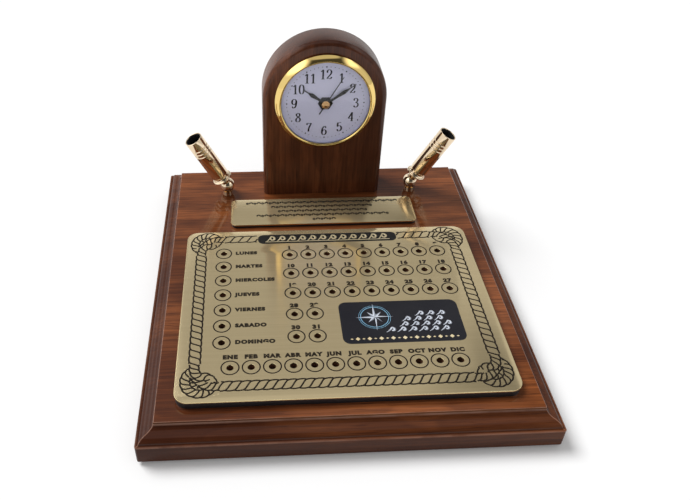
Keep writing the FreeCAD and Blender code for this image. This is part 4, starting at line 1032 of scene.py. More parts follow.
# Painted shade: the brass walls of the peg holes get a dark brown in place of the cut brass of the sheet's
# edges.
SHADED_HOLE_BRASS = PolishedMetal("hole_brass", (0.26, 0.17, 0.08), (0.12, 0.08, 0.04), 0.35)
BACKING_BLACK = Coated("black_backing", (0.016, 0.016, 0.019), (0.01, 0.01, 0.012), 0.42, gloss=0.3)
HOLE_BROWN = Coated("drilled_board", (0.16, 0.07, 0.035), (0.07, 0.03, 0.016), 0.75)
ETCH_INK = Coated("etched_ink", (0.02, 0.014, 0.009), (0.012, 0.009, 0.006), 0.6, shine=0.15)
TITLE_BLACK = Coated("title_black", (0.01, 0.01, 0.01), (0.014, 0.013, 0.012), 0.45, shine=0.2)
ORNAMENT_GOLD = Coated("ornament_gold", (0.68, 0.58, 0.37), (0.6, 0.5, 0.3), 0.35, metallic=0.4)
PICTURE_BLACK = Coated("picture_black", (0.015, 0.015, 0.019), (0.01, 0.01, 0.014), 0.4, shine=0.25)
PICTURE_SILVER = Coated("picture_silver", (0.62, 0.66, 0.74), (0.46, 0.5, 0.58), 0.4)
PICTURE_GREY = Coated("picture_grey", (0.3, 0.33, 0.39), (0.22, 0.24, 0.3), 0.4)
PICTURE_BLUE = Coated("picture_blue", (0.25, 0.52, 0.72), (0.2, 0.44, 0.64), 0.4)
PICTURE_GOLD = Coated("picture_gold", (0.72, 0.62, 0.4), (0.62, 0.5, 0.28), 0.4)
GOLD_PLATE = PolishedMetal("bezel_gold", (0.9, 0.66, 0.24), (0.66, 0.42, 0.11), 0.08, film=0.3)
PEN_BRASS = PolishedMetal("pen_gold", (0.86, 0.7, 0.5), (0.62, 0.46, 0.28), 0.07)
STUD_BRASS = PolishedMetal("stud_gold", (0.84, 0.68, 0.46), (0.58, 0.42, 0.24), 0.12)
LINER_BLACK = Coated("liner_black", (0.01, 0.01, 0.011), (0.018, 0.018, 0.018), 0.5)
CAP_BRONZE = PolishedMetal("cap_bronze", (0.5, 0.3, 0.14), (0.3, 0.16, 0.07), 0.16)
HAND_BLACK = Coated("hand_black", (0.01, 0.01, 0.012), (0.016, 0.016, 0.018), 0.3, gloss=0.5)
DIAL_WHITE = Coated("dial_paint", (0.66, 0.65, 0.8), (0.63, 0.62, 0.77), 0.6, shine=0.15)
RING_WHITE = Coated("ring_paint", (0.62, 0.61, 0.75), (0.58, 0.57, 0.71), 0.5, shine=0.2)
DIAL_INK = Coated("dial_ink", (0.012, 0.013, 0.022), (0.008, 0.009, 0.015), 0.6, shine=0.1)
LENS_CLEAR = ClearGlass("clear_acrylic", (0.97, 0.98, 1))
STEEL = PolishedMetal("zinc_steel", (0.56, 0.56, 0.57), (0.36, 0.34, 0.31), 0.28)
BRIGHT_CAN = PolishedMetal("bright_can", (0.66, 0.66, 0.68), (0.46, 0.45, 0.43), 0.2)
SOFT_IRON = PolishedMetal("soft_iron", (0.46, 0.46, 0.47), (0.28, 0.27, 0.25), 0.38, film=0.7)
BUSH_BRASS = PolishedMetal("turned_brass", (0.8, 0.66, 0.36), (0.52, 0.4, 0.2), 0.2)
CASE_BLACK = Coated("case_black", (0.02, 0.02, 0.021), (0.03, 0.03, 0.031), 0.46, relief=0.3)
FRAME_IVORY = Coated("frame_ivory", (0.62, 0.61, 0.55), (0.56, 0.55, 0.49), 0.5, relief=0.2)
GEAR_ACETAL = Coated("gear_acetal", (0.78, 0.76, 0.7), (0.7, 0.68, 0.62), 0.38)
BAND_RUBBER = Coated("band_rubber", (0.02, 0.02, 0.02), (0.034, 0.033, 0.032), 0.8, relief=0.3)
FOOT_FELT = Coated("foot_felt", (0.03, 0.03, 0.032), (0.055, 0.054, 0.054), 0.95, 1200, 1, sheen=0.5)
MASK_GREEN = Coated("solder_mask", (0.02, 0.14, 0.055), (0.014, 0.105, 0.042), 0.35, gloss=0.5)
CHIP_EPOXY = Coated("chip_epoxy", (0.016, 0.016, 0.017), (0.026, 0.026, 0.027), 0.6, relief=0.3)
COIL_COPPER = WoundWire("coil_copper", (0.6, 0.24, 0.1), (0.12, 0.04, 0.02), 9000)

FINISHED_NODES: tuple[tuple[Finish, str], ...] = (
    (STEEL, "arch_screws stud_washers case_screws movement_screws stator_screws"),
    (STEEL, "left_stud_nut right_stud_nut"),
    (CASE_BLACK, "insert_case case_back battery_cover setting_knob"),
    (BAND_RUBBER, "fit_ring"), (DIAL_WHITE, "dial"), (RING_WHITE, "chapter_ring"),
    (FRAME_IVORY, "movement_front_plate movement_rear_plate plate_pillars"),
    (BUSH_BRASS, "centre_bush battery_contacts"), (HAND_BLACK, "bush_nut hour_hand minute_hand"),
    (SOFT_IRON, "stator coil_core"), (COIL_COPPER, "coil"), (MASK_GREEN, "circuit_board"),
    (CHIP_EPOXY, "control_chip"), (BRIGHT_CAN, "quartz_crystal button_cell"),
    (GEAR_ACETAL, "rotor intermediate_wheel second_wheel third_wheel centre_wheel"),
    (GEAR_ACETAL, "cannon_pinion minute_wheel hour_wheel"),
    (STUD_BRASS, "left_swivel_stud right_swivel_stud"),
)


def install(piece: Piece, finish: Finish, body: str, slot: str, *nodes: str) -> Piece:
    """Dress a finished piece, tie it to its body and report it.

    Args:
        piece: The piece, in place.
        finish: What it is finished in.
        body: The body that it moves with.
        slot: The record's material slot; not used.
        nodes: CAD nodes that it stands for.

    Returns:
        The same piece.
    """
    if not piece.data.materials:
        piece.data.materials.append(finish.material())
    else:
        piece.data.materials[0] = finish.material()
    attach(piece, body)
    if nodes:
        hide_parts(*nodes)
    LOG.info("%s: %d faces on %s", piece.name, len(piece.data.polygons), body)
    return piece


def etch(piece: Piece, finish: Finish = ETCH_INK) -> None:
    """Fix printing to the brass that it lies on."""
    install(piece, finish, "stand", "etched_brass")


def paint_faces(piece: Piece, finish: Finish, test: Callable[[Vector, Vector], bool]) -> None:
    """Give some faces of a piece a finish of their own.

    Args:
        piece: The piece, after install.
        finish: The finish of those faces.
        test: Says from a face's centre and normal whether it is one of them.
    """
    piece.data.materials.append(finish.material())
    number = len(piece.data.materials) - 1
    for face in piece.data.polygons:
        if test(face.center, face.normal):
            face.material_index = number


def joint_place(name: str) -> Vector:
    """Where a joint's axis passes, in the object's frame."""
    return next(Vector(joint["pos_m"]) for joint in frame["joints"] if joint["name"] == name)


# ---- where the pegs go
@dataclass(frozen=True)
class PegGrid:
    """The calendar's pattern of peg holes."""

    low: Vector
    high: Vector
    hole_radius: float = 2.2 * MM
    countersink: float = 0.08 * MM
    depth_in_board: float = 6 * MM
    date_pitch: Point = (13.2 * MM, 20 * MM)
    date_first: Point = (73.1 * MM, 28 * MM)
    date_rows: tuple[int, ...] = (9, 9, 9, 2, 2)
    weekday_pitch: float = 14.37 * MM
    weekday_first: Point = (26.6 * MM, 25 * MM)
    month_pitch: float = 12.62 * MM
    month_from_front: float = 25.2 * MM

    def dates(self) -> Line:
        """Centres of the 31 date holes, in order."""
        left, back = self.low.x + self.date_first[0], self.high.y - self.date_first[1]
        return [(left + column * self.date_pitch[0], back - row * self.date_pitch[1])
                for row, count in enumerate(self.date_rows) for column in range(count)]

    def weekdays(self) -> Line:
        """Centres of the seven weekday holes, from the back."""
        x, back = self.low.x + self.weekday_first[0], self.high.y - self.weekday_first[1]
        return [(x, back - day * self.weekday_pitch) for day in range(7)]

    def months(self) -> Line:
        """Centres of the twelve month holes, from the left."""
        y = self.low.y + self.month_from_front
        return [((month - 5.5) * self.month_pitch, y) for month in range(12)]

    def every(self) -> Line:
        """Centres of all holes."""
        return self.dates() + self.weekdays() + self.months()

    def drills(self, bottom: float, top: float, flare: float) -> Piece:
        """Cutters for every hole.

        Args:
            bottom: Lower end of the cutters.
            top: Surface where the holes open.
            flare: How much wider the holes are at the surface.

        Returns:
            The cutters as one object.
        """
        radius = self.hole_radius
        wide = radius + flare + MM
        stations = [(0, bottom), (radius, bottom), (radius, top - flare), (wide, top + MM), (0, top + MM)]
        return repeated("drills", turned("drill", stations, 24), self.every())


PLATE_LOW, PLATE_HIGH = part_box("calendar_plate")
PEGS = PegGrid(PLATE_LOW, PLATE_HIGH)


# ---- base board and feet
@dataclass
class BaseBoard:
    """Lacquered board with a moulded edge, drilled for pegs, studs and screws, on felt feet."""

    edge_step: float = 1.2 * MM
    edge_swell: float = 0.9 * MM
    bottom_arris: float = 0.8 * MM
    corner: float = 2 * MM
    soft_arris: float = 0.35 * MM
    stud_hole: float = 2.05 * MM
    nut_sink: Point = (7 * MM, 8 * MM)
    screw_hole: float = 2 * MM
    screw_sink: Point = (4.8 * MM, 6 * MM)
    foot_inset: float = 26 * MM
    bow_steps: int = 7

    def edge_levels(self) -> Line:
        """Inset and height along the moulded edge, from the bottom up: upright, ledge, ogee, step."""
        top = BOARD_HIGH.z
        foot = Vector((EDGE_LEDGE, top - EDGE_DROP))
        head = Vector((EDGE_RUN, top - self.edge_step))
        middle = (foot + head) / 2
        swell = Vector((foot.y - head.y, head.x - foot.x)).normalized() * self.edge_swell
        levels = [(self.bottom_arris, BOARD_LOW.z), (0, BOARD_LOW.z + self.bottom_arris), (0, foot.y),
                  tuple(foot)]
        levels += bow(foot, (foot + middle) / 2 + swell, middle, self.bow_steps)
        levels += bow(middle, (middle + head) / 2 - swell, head, self.bow_steps)
        levels.append((EDGE_RUN, top))
        return levels

    def board(self) -> Piece:
        """Model the board with softened mitres and arrises, and its holes."""
        width, depth = 2 * BOARD_HIGH.x, 2 * BOARD_HIGH.y
        piece = layered("lacquered_board", width, depth, (0, 0), self.edge_levels())
        shoulder = BOARD_HIGH.z - EDGE_DROP - 0.1 * MM
        with editing(piece, Kind.EDGES):
            def soft(edge: bmesh.types.BMEdge) -> bool:
                """Whether an edge is an upper arris or a mitre."""
                first, second = edge.verts[0].co, edge.verts[1].co
                if min(first.z, second.z) < shoulder:
                    return False
                if abs(first.z - second.z) > TINY:
                    return True
                outside = min(abs(first.x), abs(second.x)) > BOARD_HIGH.x - TINY
                outside = outside or min(abs(first.y), abs(second.y)) > BOARD_HIGH.y - TINY
                return outside or abs(first.z - BOARD_HIGH.z) < TINY
            pick(piece, Kind.EDGES, soft)
            bpy.ops.mesh.bevel(offset=self.soft_arris, segments=3, affect="EDGES")
        with editing(piece):
            pick(piece, Kind.FACES, self.on_top)
            bpy.ops.mesh.inset(thickness=self.soft_arris, depth=0)
        plan = [(0, BOARD_LOW.z - MM), (0, BOARD_HIGH.z + MM)]
        combine(piece, layered("plan", width, depth, (0, 0), plan, self.corner, 5), Solid.KEEP)
        combine(piece, PEGS.drills(BOARD_HIGH.z - PEGS.depth_in_board, BOARD_HIGH.z, 0), Solid.CUT)
        for side in ("left", "right"):
            at = joint_place(side + "_tilt")
            self.sink(piece, (at.x, at.y), self.stud_hole, self.nut_sink)
        for side in (-1, 1):
            x = ARCH_MIDDLE.x + side * SCREW_SPAN / 2
            self.sink(piece, (x, ARCH_MIDDLE.y), self.screw_hole, self.screw_sink)
        smooth(piece)
        with editing(piece):
            pick(piece, Kind.FACES, self.on_top)
            bpy.ops.mesh.faces_shade_flat()
        return piece

    @staticmethod
    def on_top(face: bmesh.types.BMFace) -> bool:
        """Whether a face is part of the flat top."""
        return face.normal.z > 0.99 and face.calc_center_median().z > BOARD_HIGH.z - TINY

    def sink(self, piece: Piece, at: Point, radius: float, sink: Point) -> None:
        """Drill a through hole with a wide sink from below.

        Args:
            piece: The board.
            at: Centre of the hole.
            radius: Radius of the through hole.
            sink: Radius and depth of the sink.
        """
        ceiling = BOARD_LOW.z + sink[1]
        stations = [(0, BOARD_LOW.z - MM), (sink[0], BOARD_LOW.z - MM), (sink[0], ceiling), (radius, ceiling),
                    (radius, BOARD_HIGH.z + MM), (0, BOARD_HIGH.z + MM)]
        tool = settle(turned("sink", stations, 40), Matrix.Translation((*at, 0)))
        combine(piece, tool, Solid.CUT)

    def feet(self) -> Piece:
        """Model four felt discs with soft rims."""
        low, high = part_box("felt_feet")
        radius = (high.x - BOARD_HIGH.x + self.foot_inset)
        rim = 0.4 * MM
        stations = [(0, low.z), (radius - rim, low.z)]
        stations += bow(stations[-1], (radius - rim * 0.3, low.z + rim * 0.3), (radius, low.z + rim), 3)
        stations += [(radius, high.z), (0, high.z)]
        x, y = BOARD_HIGH.x - self.foot_inset, BOARD_HIGH.y - self.foot_inset
        return repeated("felt_discs", turned("foot", stations, 40), [(-x, -y), (x, -y), (-x, y), (x, y)])

    def build(self) -> None:
        """Make and dress the board and its feet."""
        board = install(self.board(), BOARD_WOOD, "stand", "board_wood", "base_board")

        def drilled(centre: Vector, normal: Vector) -> bool:
            """Whether a face is the wall of a hole."""
            inside = abs(centre.x) < BOARD_HIGH.x - EDGE_RUN and abs(centre.y) < BOARD_HIGH.y - EDGE_RUN
            return inside and abs(normal.z) < 0.5 and BOARD_LOW.z < centre.z < BOARD_HIGH.z
        paint_faces(board, RAW_WOOD, drilled)
        install(self.feet(), FOOT_FELT, "stand", "felt", "felt_feet")


# ---- brass plates on their backings
@dataclass
class Nameplate:
    """A brass sheet on a black board, with or without peg holes."""

    name: str
    corner: float
    drilled: bool
    backing_inset: float = 0.4 * MM
    arris: float = 0.18 * MM
    board_arris: float = 0.3 * MM

    def slab(self, kind: str, node: str, corner: float, levels: Line, drills: Piece | None) -> Piece:
        """Model the sheet or its board.

        Args:
            kind: What ends the piece's name.
            node: The CAD node that it stands for.
            corner: Radius of its corners.
            levels: Inset and height of each level.
            drills: Cutters for the peg holes, if it has any.

        Returns:
            The slab.
        """
        low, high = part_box(node)
        centre = ((low.x + high.x) / 2, (low.y + high.y) / 2)
        piece = layered(self.name + kind, high.x - low.x, high.y - low.y, centre, levels, corner, 10)
        if drills:
            combine(piece, drills, Solid.CUT)
        return smooth(piece)

    def sheet(self) -> Piece:
        """Model the brass sheet with a softened upper arris."""
        low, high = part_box(self.name + "_plate")
        levels = [(0, low.z), (0, high.z - self.arris), (self.arris * 0.35, high.z - self.arris * 0.3),
                  (self.arris, high.z)]
        drills = PEGS.drills(low.z - MM, high.z, PEGS.countersink) if self.drilled else None
        return self.slab("_sheet", self.name + "_plate", self.corner, levels, drills)

    def board(self) -> Piece:
        """Model the black board behind the sheet."""
        low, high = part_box(self.name + "_backing")
        soft = self.board_arris
        levels = [(0, low.z), (0, high.z - soft), (soft * 0.3, high.z - soft * 0.3), (soft, high.z)]
        drills = PEGS.drills(low.z - MM, high.z + MM, 0) if self.drilled else None
        return self.slab("_backing", self.name + "_backing", self.corner - self.backing_inset, levels, drills)

    def build(self) -> None:
        """Make and dress the sheet and its board."""
        sheet = install(self.sheet(), PLATE_BRASS, "stand", "etched_brass", self.name + "_plate")
        paint_faces(sheet, EDGE_BRASS, lambda centre, normal: normal.z < 0.97)
        board = install(self.board(), BACKING_BLACK, "stand", "black_board", self.name + "_backing")
        low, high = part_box(self.name + "_backing")
        margin = 2 * MM

        def hole_wall(centre: Vector, normal: Vector) -> bool:
            """Whether a face is the wall of a hole."""
            across = low.x + margin < centre.x < high.x - margin
            return abs(normal.z) < 0.5 and across and low.y + margin < centre.y < high.y - margin
        paint_faces(board, HOLE_BROWN, hole_wall)
        # The walls of the sheet's peg holes get painted shade.
        if self.drilled:
            paint_faces(sheet, SHADED_HOLE_BRASS, hole_wall)


# ---- rope border
@dataclass(frozen=True)
class Rope:
    """A laid rope drawn in outline along a path."""

    width: float = 6.2 * MM
    pitch: float = 5.4 * MM
    slant: float = 4.6 * MM
    bulge: float = 0.45 * MM
    line: float = 1.05 * MM
    steps: int = 8

    def measured(self, path: Line) -> list[float]:
        """Distance along the path at each of its points."""
        lengths = [0]
        for first, second in zip(path, path[1:]):
            lengths.append(lengths[-1] + dist(first, second))
        return lengths

    def at(self, path: Line, lengths: Sequence[float], along: float, off: float) -> Point:
        """Point beside the path.

        Args:
            path: Points of the path.
            lengths: Distance along it at each point.
            along: Distance from its start.
            off: Distance to the left of it.

        Returns:
            The point.
        """
        along = min(max(along, 0), lengths[-1])
        number = next((n for n in range(1, len(lengths)) if lengths[n] >= along), len(lengths) - 1)
        (ax, ay), (bx, by) = path[number - 1], path[number]
        run = lengths[number] - lengths[number - 1]
        share = (along - lengths[number - 1]) / run
        dx, dy = (bx - ax) / run, (by - ay) / run
        return ax + dx * run * share - dy * off, ay + dy * run * share + dx * off

    def strands(self, path: Line, over: Sequence[Line] = ()) -> list[Stroke]:
        """Draw the rope's strands.

        Args:
            path: Middle line of the rope.
            over: Middle lines of ropes that pass over this one and hide it.

        Returns:
            The lines that show.
        """
        lengths = self.measured(path)
        count = max(1, round(lengths[-1] / self.pitch))
        pitch = lengths[-1] / count
        half = self.width / 2
        shares = [step / self.steps for step in range(self.steps + 1)]
        lines = []
        for strand in range(-1, count + 2):
            start = strand * pitch
            lines.append([(start + (share - 0.5) * self.slant, half * sin((share - 0.5) * pi))
                          for share in shares])
            for side in (-1, 1):
                rise = [side * (half + self.bulge * sin(pi * share) ** 0.8) for share in shares]
                lines.append([(start + side * self.slant / 2 + share * pitch, off)
                              for share, off in zip(shares, rise)])
        shown = []
        for line in lines:
            shown += self.seen(line, path, lengths, over)
        return [Stroke.even(points, self.line) for points in shown if len(points) > 1]

    def seen(self, line: Line, path: Line, lengths: Sequence[float],
             over: Sequence[Line]) -> list[Line]:
        """Parts of a line that lie on the rope and that no rope above it hides.

        Args:
            line: Distances along the rope and beside it.
            path: Middle line of the rope.
            lengths: Distance along it at each of its points.
            over: Middle lines of the ropes above.

        Returns:
            The parts, as points on the plate.
        """
        reach = self.width / 2 + self.bulge * 0.6
        parts: list[list[Point]] = [[]]
        for along, off in line:
            point = self.at(path, lengths, along, off)
            outside = along < -TINY or along > lengths[-1] + TINY
            if outside or any(self.gap(point, other) < reach for other in over):
                parts.append([])
            else:
                parts[-1].append(point)
        return parts

    @staticmethod
    def gap(point: Point, path: Line) -> float:
        """Distance from a point to a path, endless for a point past either end of it."""
        best = inf
        last = len(path) - 2
        for number, ((ax, ay), (bx, by)) in enumerate(zip(path, path[1:])):
            dx, dy = bx - ax, by - ay
            share = ((point[0] - ax) * dx + (point[1] - ay) * dy) / (dx * dx + dy * dy)
            if (number == 0 and share < 0) or (number == last and share > 1):
                continue
            share = min(max(share, 0), 1)
            best = min(best, dist(point, (ax + dx * share, ay + dy * share)))
        return best


@dataclass
class RopeBorder:
    """Rope frame of the calendar with a knot at each corner."""

    level: float
    half_width: float = 90.7 * MM
    top: float = 28.9 * MM
    bottom: float = -107.7 * MM
    knot_inset: float = 3.1 * MM
    knot_reach: Point = (12.5 * MM, 14.5 * MM)
    title_half: float = 50.9 * MM
    along_x: Rope = Rope(slant=5.2 * MM)
    along_y: Rope = Rope(slant=3.9 * MM)
    knotted: Rope = Rope(5 * MM, 3.6 * MM, 3.4 * MM, 0.42 * MM)
    sweep: Line = ((12.5, 3.1), (8.5, 3.2), (4.6, 2.4), (1.4, -0.2), (-1.4, -3.4), (-3.4, -6.2))
    loop: Line = ((-1.2, -8.4), (-4.6, -8.8), (-7.2, -5.6), (-8, -1.2), (-6.8, 3.4), (-3.6, 6.8),
                  (0.6, 8.2), (4.6, 7.2), (7.4, 4), (7.8, 0), (6, -3.6))
    upright: Line = ((-3.1, -14.5), (-3, -10.2), (-1.8, -6.6), (0.8, -4.4), (4, -4.4), (6.6, -2.4))
    inner: Line = ((-4.6, -0.4), (-3.4, 2.6), (-0.6, 4.2), (2.6, 3.2))

    def knot(self, right: int, upper: int) -> list[Stroke]:
        """Draw one knot: a loop, with the rope from the side swept across it and the upright one tucked in.

        Args:
            right: 1 for a corner on the right, -1 on the left.
            upper: 1 for a corner at the back, -1 at the front.

        Returns:
            Its lines.
        """
        x = right * (self.half_width - self.knot_inset)
        y = self.top - self.knot_inset if upper > 0 else self.bottom + self.knot_inset
        sweep, loop, upright, inner = (
            flowing([(x - right * across * MM, y + upper * up * MM) for across, up in points])
            for points in (self.sweep, self.loop, self.upright, self.inner))
        lines = self.knotted.strands(loop, (upright, sweep))
        lines += self.knotted.strands(inner, (sweep, loop))
        lines += self.knotted.strands(sweep, (upright,))
        lines += self.knotted.strands(upright)
        return lines

    def build(self) -> None:
        """Draw the four sides and the four knots."""
        end_x = self.half_width - self.knot_inset - self.knot_reach[0]
        upper_end = self.top - self.knot_inset - self.knot_reach[1]
        lower_end = self.bottom + self.knot_inset + self.knot_reach[1]
        sides = self.along_x.strands([(-end_x, self.bottom), (end_x, self.bottom)])
        knots = []
        for right in (-1, 1):
            x = right * self.half_width
            sides += self.along_y.strands([(x, upper_end), (x, lower_end)])
            ends = sorted((right * end_x, right * self.title_half))
            sides += self.along_x.strands([(end, self.top) for end in ends])
            for upper in (-1, 1):
                knots += self.knot(right, upper)
        etch(printed_lines("rope_border", sides, self.level))
        etch(printed_lines("corner_knots", knots, self.level))


# ---- printing on the calendar
@dataclass
class CalendarPrint:
    """Rings, numbers and names beside the peg holes."""

    level: float
    ring: float = 5.3 * MM
    ring_line: float = 0.85 * MM
    ring_sides: int = 40
    letters: Lettering = Lettering(4.2 * MM, 1.06, 0.00034, 1.2)
    figures: Lettering = Lettering(4.5 * MM, 1.08, 0.00036, 1.16)
    number_rise: float = 7.8 * MM
    month_rise: float = 8.3 * MM
    weekday_gap: float = 8.4 * MM
    weekday_names: str = "LUNES MARTES MIERCOLES JUEVES VIERNES SABADO DOMINGO"
    month_names: str = "ENE FEB MAR ABR MAY JUN JUL AGO SEP OCT NOV DIC"

    def build(self) -> None:
        """Print the calendar."""
        groups = {"date_rings": PEGS.dates(), "weekday_rings": PEGS.weekdays(), "month_rings": PEGS.months()}
        for name, places in groups.items():
            rings = [Stroke.even(circle(place, self.ring, self.ring_sides), self.ring_line, closed=True)
                     for place in places]
            etch(printed_lines(name, rings, self.level))
        numbers = [self.figures.word(str(day + 1), (x, y + self.number_rise), self.level)
                   for day, (x, y) in enumerate(PEGS.dates())]
        weekdays = [self.letters.word(name, (x + self.weekday_gap, y), self.level, left=True)
                    for name, (x, y) in zip(self.weekday_names.split(), PEGS.weekdays())]
        months = [self.letters.word(name, (x, y + self.month_rise), self.level)
                  for name, (x, y) in zip(self.month_names.split(), PEGS.months())]
        for name, words in (("date_numbers", numbers), ("weekday_names", weekdays), ("month_names", months)):
            etch(gathered(name, words))


def swelling(points: Line, thin: float, thick: float) -> Stroke:
    """A line that swells towards its middle."""
    last = len(points) - 1
    widths = [thin + (thick - thin) * sin(pi * number / last) for number in range(last + 1)]
    return Stroke(list(points), widths)


def curl(centre: Point, start: Point, turns: float, steps: int = 18) -> Line:
    """Spiral from a point into a centre.

    Args:
        centre: Where it ends.
        start: Where it begins.
        turns: How far it winds, anticlockwise when positive.
        steps: How many runs it has.

    Returns:
        Its points.
    """
    radius = dist(centre, start)
    first = atan2(start[1] - centre[1], start[0] - centre[0])
    points = []
    for step in range(steps + 1):
        share = step / steps
        angle = first + tau * turns * share
        reach = radius * (1 - 0.86 * share)
        points.append((centre[0] + reach * cos(angle), centre[1] + reach * sin(angle)))
    return points


@dataclass
class TitleBar:
    """Black bar between the two halves of the upper rope, with a running scroll."""

    level: float
    centre: Point = (0, 28.1 * MM)
    size: Point = (101 * MM, 10.3 * MM)
    corner: float = 4.2 * MM
    waves: int = 12
    wave_height: float = 6 * MM
    margin: float = 6 * MM

    def scroll(self) -> list[Stroke]:
        """A row of breaking waves, each a swelling curl on a common ground line."""
        pitch = (self.size[0] - 2 * self.margin) / self.waves
        left = self.centre[0] - self.size[0] / 2 + self.margin
        low = self.centre[1] - self.wave_height / 2
        lines = []
        for wave in range(self.waves):
            x = left + wave * pitch
            heart = (x + pitch * 0.56, low + self.wave_height * 0.56)
            crest = (heart[0] - pitch * 0.06, low + self.wave_height)
            rise = bow((x, low), (x + pitch * 0.26, low + self.wave_height * 0.42), crest, 7)
            lines.append(swelling([(x, low)] + rise + curl(heart, crest, -0.9)[1:], 0.55 * MM, 1.65 * MM))
            dot = (x + pitch * 0.1, low + self.wave_height * 0.8)
            lines.append(Stroke([dot, (dot[0] + 0.01 * MM, dot[1])], [1.2 * MM, 1.2 * MM]))
        ground = [(left - 0.8 * MM, low), (left + self.waves * pitch + 0.8 * MM, low)]
        lines.append(Stroke.even(ground, 0.9 * MM))
        return lines

    def build(self) -> None:
        """Print the bar and its scroll."""
        outline = rounded_outline(*self.size, self.corner, self.centre)
        etch(printed_fill("title_bar", [outline], self.level), TITLE_BLACK)
        etch(printed_lines("title_scroll", self.scroll(), self.level + INK_HEIGHT), ORNAMENT_GOLD)


@dataclass
class PicturePanel:
    """Black panel with a compass star over rolling waves."""

    level: float
    centre: Point = (39.2 * MM, -59.4 * MM)
    size: Point = (77.8 * MM, 37.2 * MM)
    corner: float = 5 * MM
    star_at: Point = (-16.5 * MM, 4.2 * MM)
    star_long: float = 12.2 * MM
    star_short: float = 6.4 * MM
    star_waist: float = 2.3 * MM
    wave_rows: int = 4
    wave_pitch: float = 6.9 * MM

    def star_patches(self, light: bool) -> list[Line]:
        """Half of each ray of an eight-pointed compass star.

        Args:
            light: Whether to give the lit halves or the shaded ones.

        Returns:
            The outlines of those halves.
        """
        cx, cy = self.centre[0] + self.star_at[0], self.centre[1] + self.star_at[1]
        patches = []
        for ray in range(8):
            long = ray % 2 == 0
            reach = self.star_long if long else self.star_short
            angle = radians(90 - 45 * ray)
            side = angle + radians(22.5 if light else -22.5) * (1 if long else -1)
            tip = (cx + reach * cos(angle), cy + reach * sin(angle))
            waist = (cx + self.star_waist * cos(side), cy + self.star_waist * sin(side))
            patches.append([(cx, cy), tip, waist])
        return patches

    def waves(self) -> list[Stroke]:
        """Rows of swelling crests that fill the right of the panel."""
        lines = []
        for row in range(self.wave_rows):
            y = self.centre[1] - 9.5 * MM + row * 4.6 * MM
            count = 6 - row
            left = self.centre[0] + 30.5 * MM - count * self.wave_pitch - row * 1.2 * MM
            for wave in range(count):
                x = left + (wave + 0.5 * (row % 2)) * self.wave_pitch
                heart = (x + self.wave_pitch * 0.62, y + 2 * MM)
                crest = (heart[0] - 0.4 * MM, y + 3.7 * MM)
                rise = bow((x, y), (x + self.wave_pitch * 0.3, y + 1.4 * MM), crest, 7)
                lines.append(swelling([(x, y)] + rise + curl(heart, crest, -0.8)[1:], 0.3 * MM, 1.7 * MM))
        return lines

    def ring(self, radius: float, width: float) -> Stroke:
        """Ring round the star."""
        middle = (self.centre[0] + self.star_at[0], self.centre[1] + self.star_at[1])
        return Stroke.even(circle(middle, radius, 56), width, closed=True)

    def beads(self) -> list[Line]:
        """Row of lozenges and bars along the bottom."""
        y = self.centre[1] - 14.6 * MM
        patches = []
        for number in range(-9, 10):
            x = self.centre[0] + number * 3.7 * MM
            wide, tall = (1.5 * MM, 1.5 * MM) if number % 2 == 0 else (1 * MM, 0.55 * MM)
            patches.append([(x + wide, y), (x, y + tall), (x - wide, y), (x, y - tall)])
        return patches

    def build(self) -> None:
        """Print the panel."""
        outline = rounded_outline(*self.size, self.corner, self.centre)
        etch(printed_fill("picture_panel", [outline], self.level), PICTURE_BLACK)
        level = self.level + INK_HEIGHT
        fills = (("star_light", self.star_patches(True), PICTURE_SILVER),
                 ("star_shade", self.star_patches(False), PICTURE_GREY),
                 ("picture_beads", self.beads(), PICTURE_GOLD))
        for name, patches, finish in fills:
            etch(printed_fill(name, patches, level), finish)
        rings = [self.ring(9 * MM, 0.5 * MM), self.ring(10.2 * MM, 0.28 * MM)]
        lines = (("star_rings", rings, PICTURE_BLUE), ("picture_waves", self.waves(), PICTURE_SILVER))
        for name, strokes, finish in lines:
            etch(printed_lines(name, strokes, level), finish)


@dataclass
class DedicationPrint:
    """Five centred lines of running ornament in place of words."""

    level: float
    low: Vector
    high: Vector
    lengths: tuple[float, ...] = (119 * MM, 79 * MM, 70 * MM, 102 * MM, 18 * MM)
    pitch: float = 5.5 * MM
    element: float = 3 * MM

    def row(self, number: int, length: float) -> list[Stroke]:
        """One row of ornament.

        Args:
            number: Which row it is, from the back.
            length: Its whole length.

        Returns:
            Its strokes.
        """
        middle = (self.low.x + self.high.x) / 2
        y = (self.low.y + self.high.y) / 2 + (2 - number) * self.pitch
        count = max(3, round(length / self.element))
        pitch = length / count
        lines = []
        for place in range(count):
            x = middle - length / 2 + (place + 0.5) * pitch
            half, tall = pitch * 0.36, 1.25 * MM
            if (place + number) % 2:
                leaf = bow((x - half, y - tall * 0.5), (x, y + tall), (x + half, y - tall * 0.5), 6)
                lines.append(swelling([(x - half, y - tall * 0.5)] + leaf, 0.8 * MM, 1.4 * MM))
            else:
                eye = circle((x, y), 0.62 * half, 12, 0.8 * tall / (0.62 * half))
                lines.append(Stroke.even(eye, 0.95 * MM, closed=True))
        return lines

    def build(self) -> None:
        """Print the rows."""
        strokes = []
        for number, length in enumerate(self.lengths):
            strokes += self.row(number, length)
        etch(printed_lines("dedication_lines", strokes, self.level))


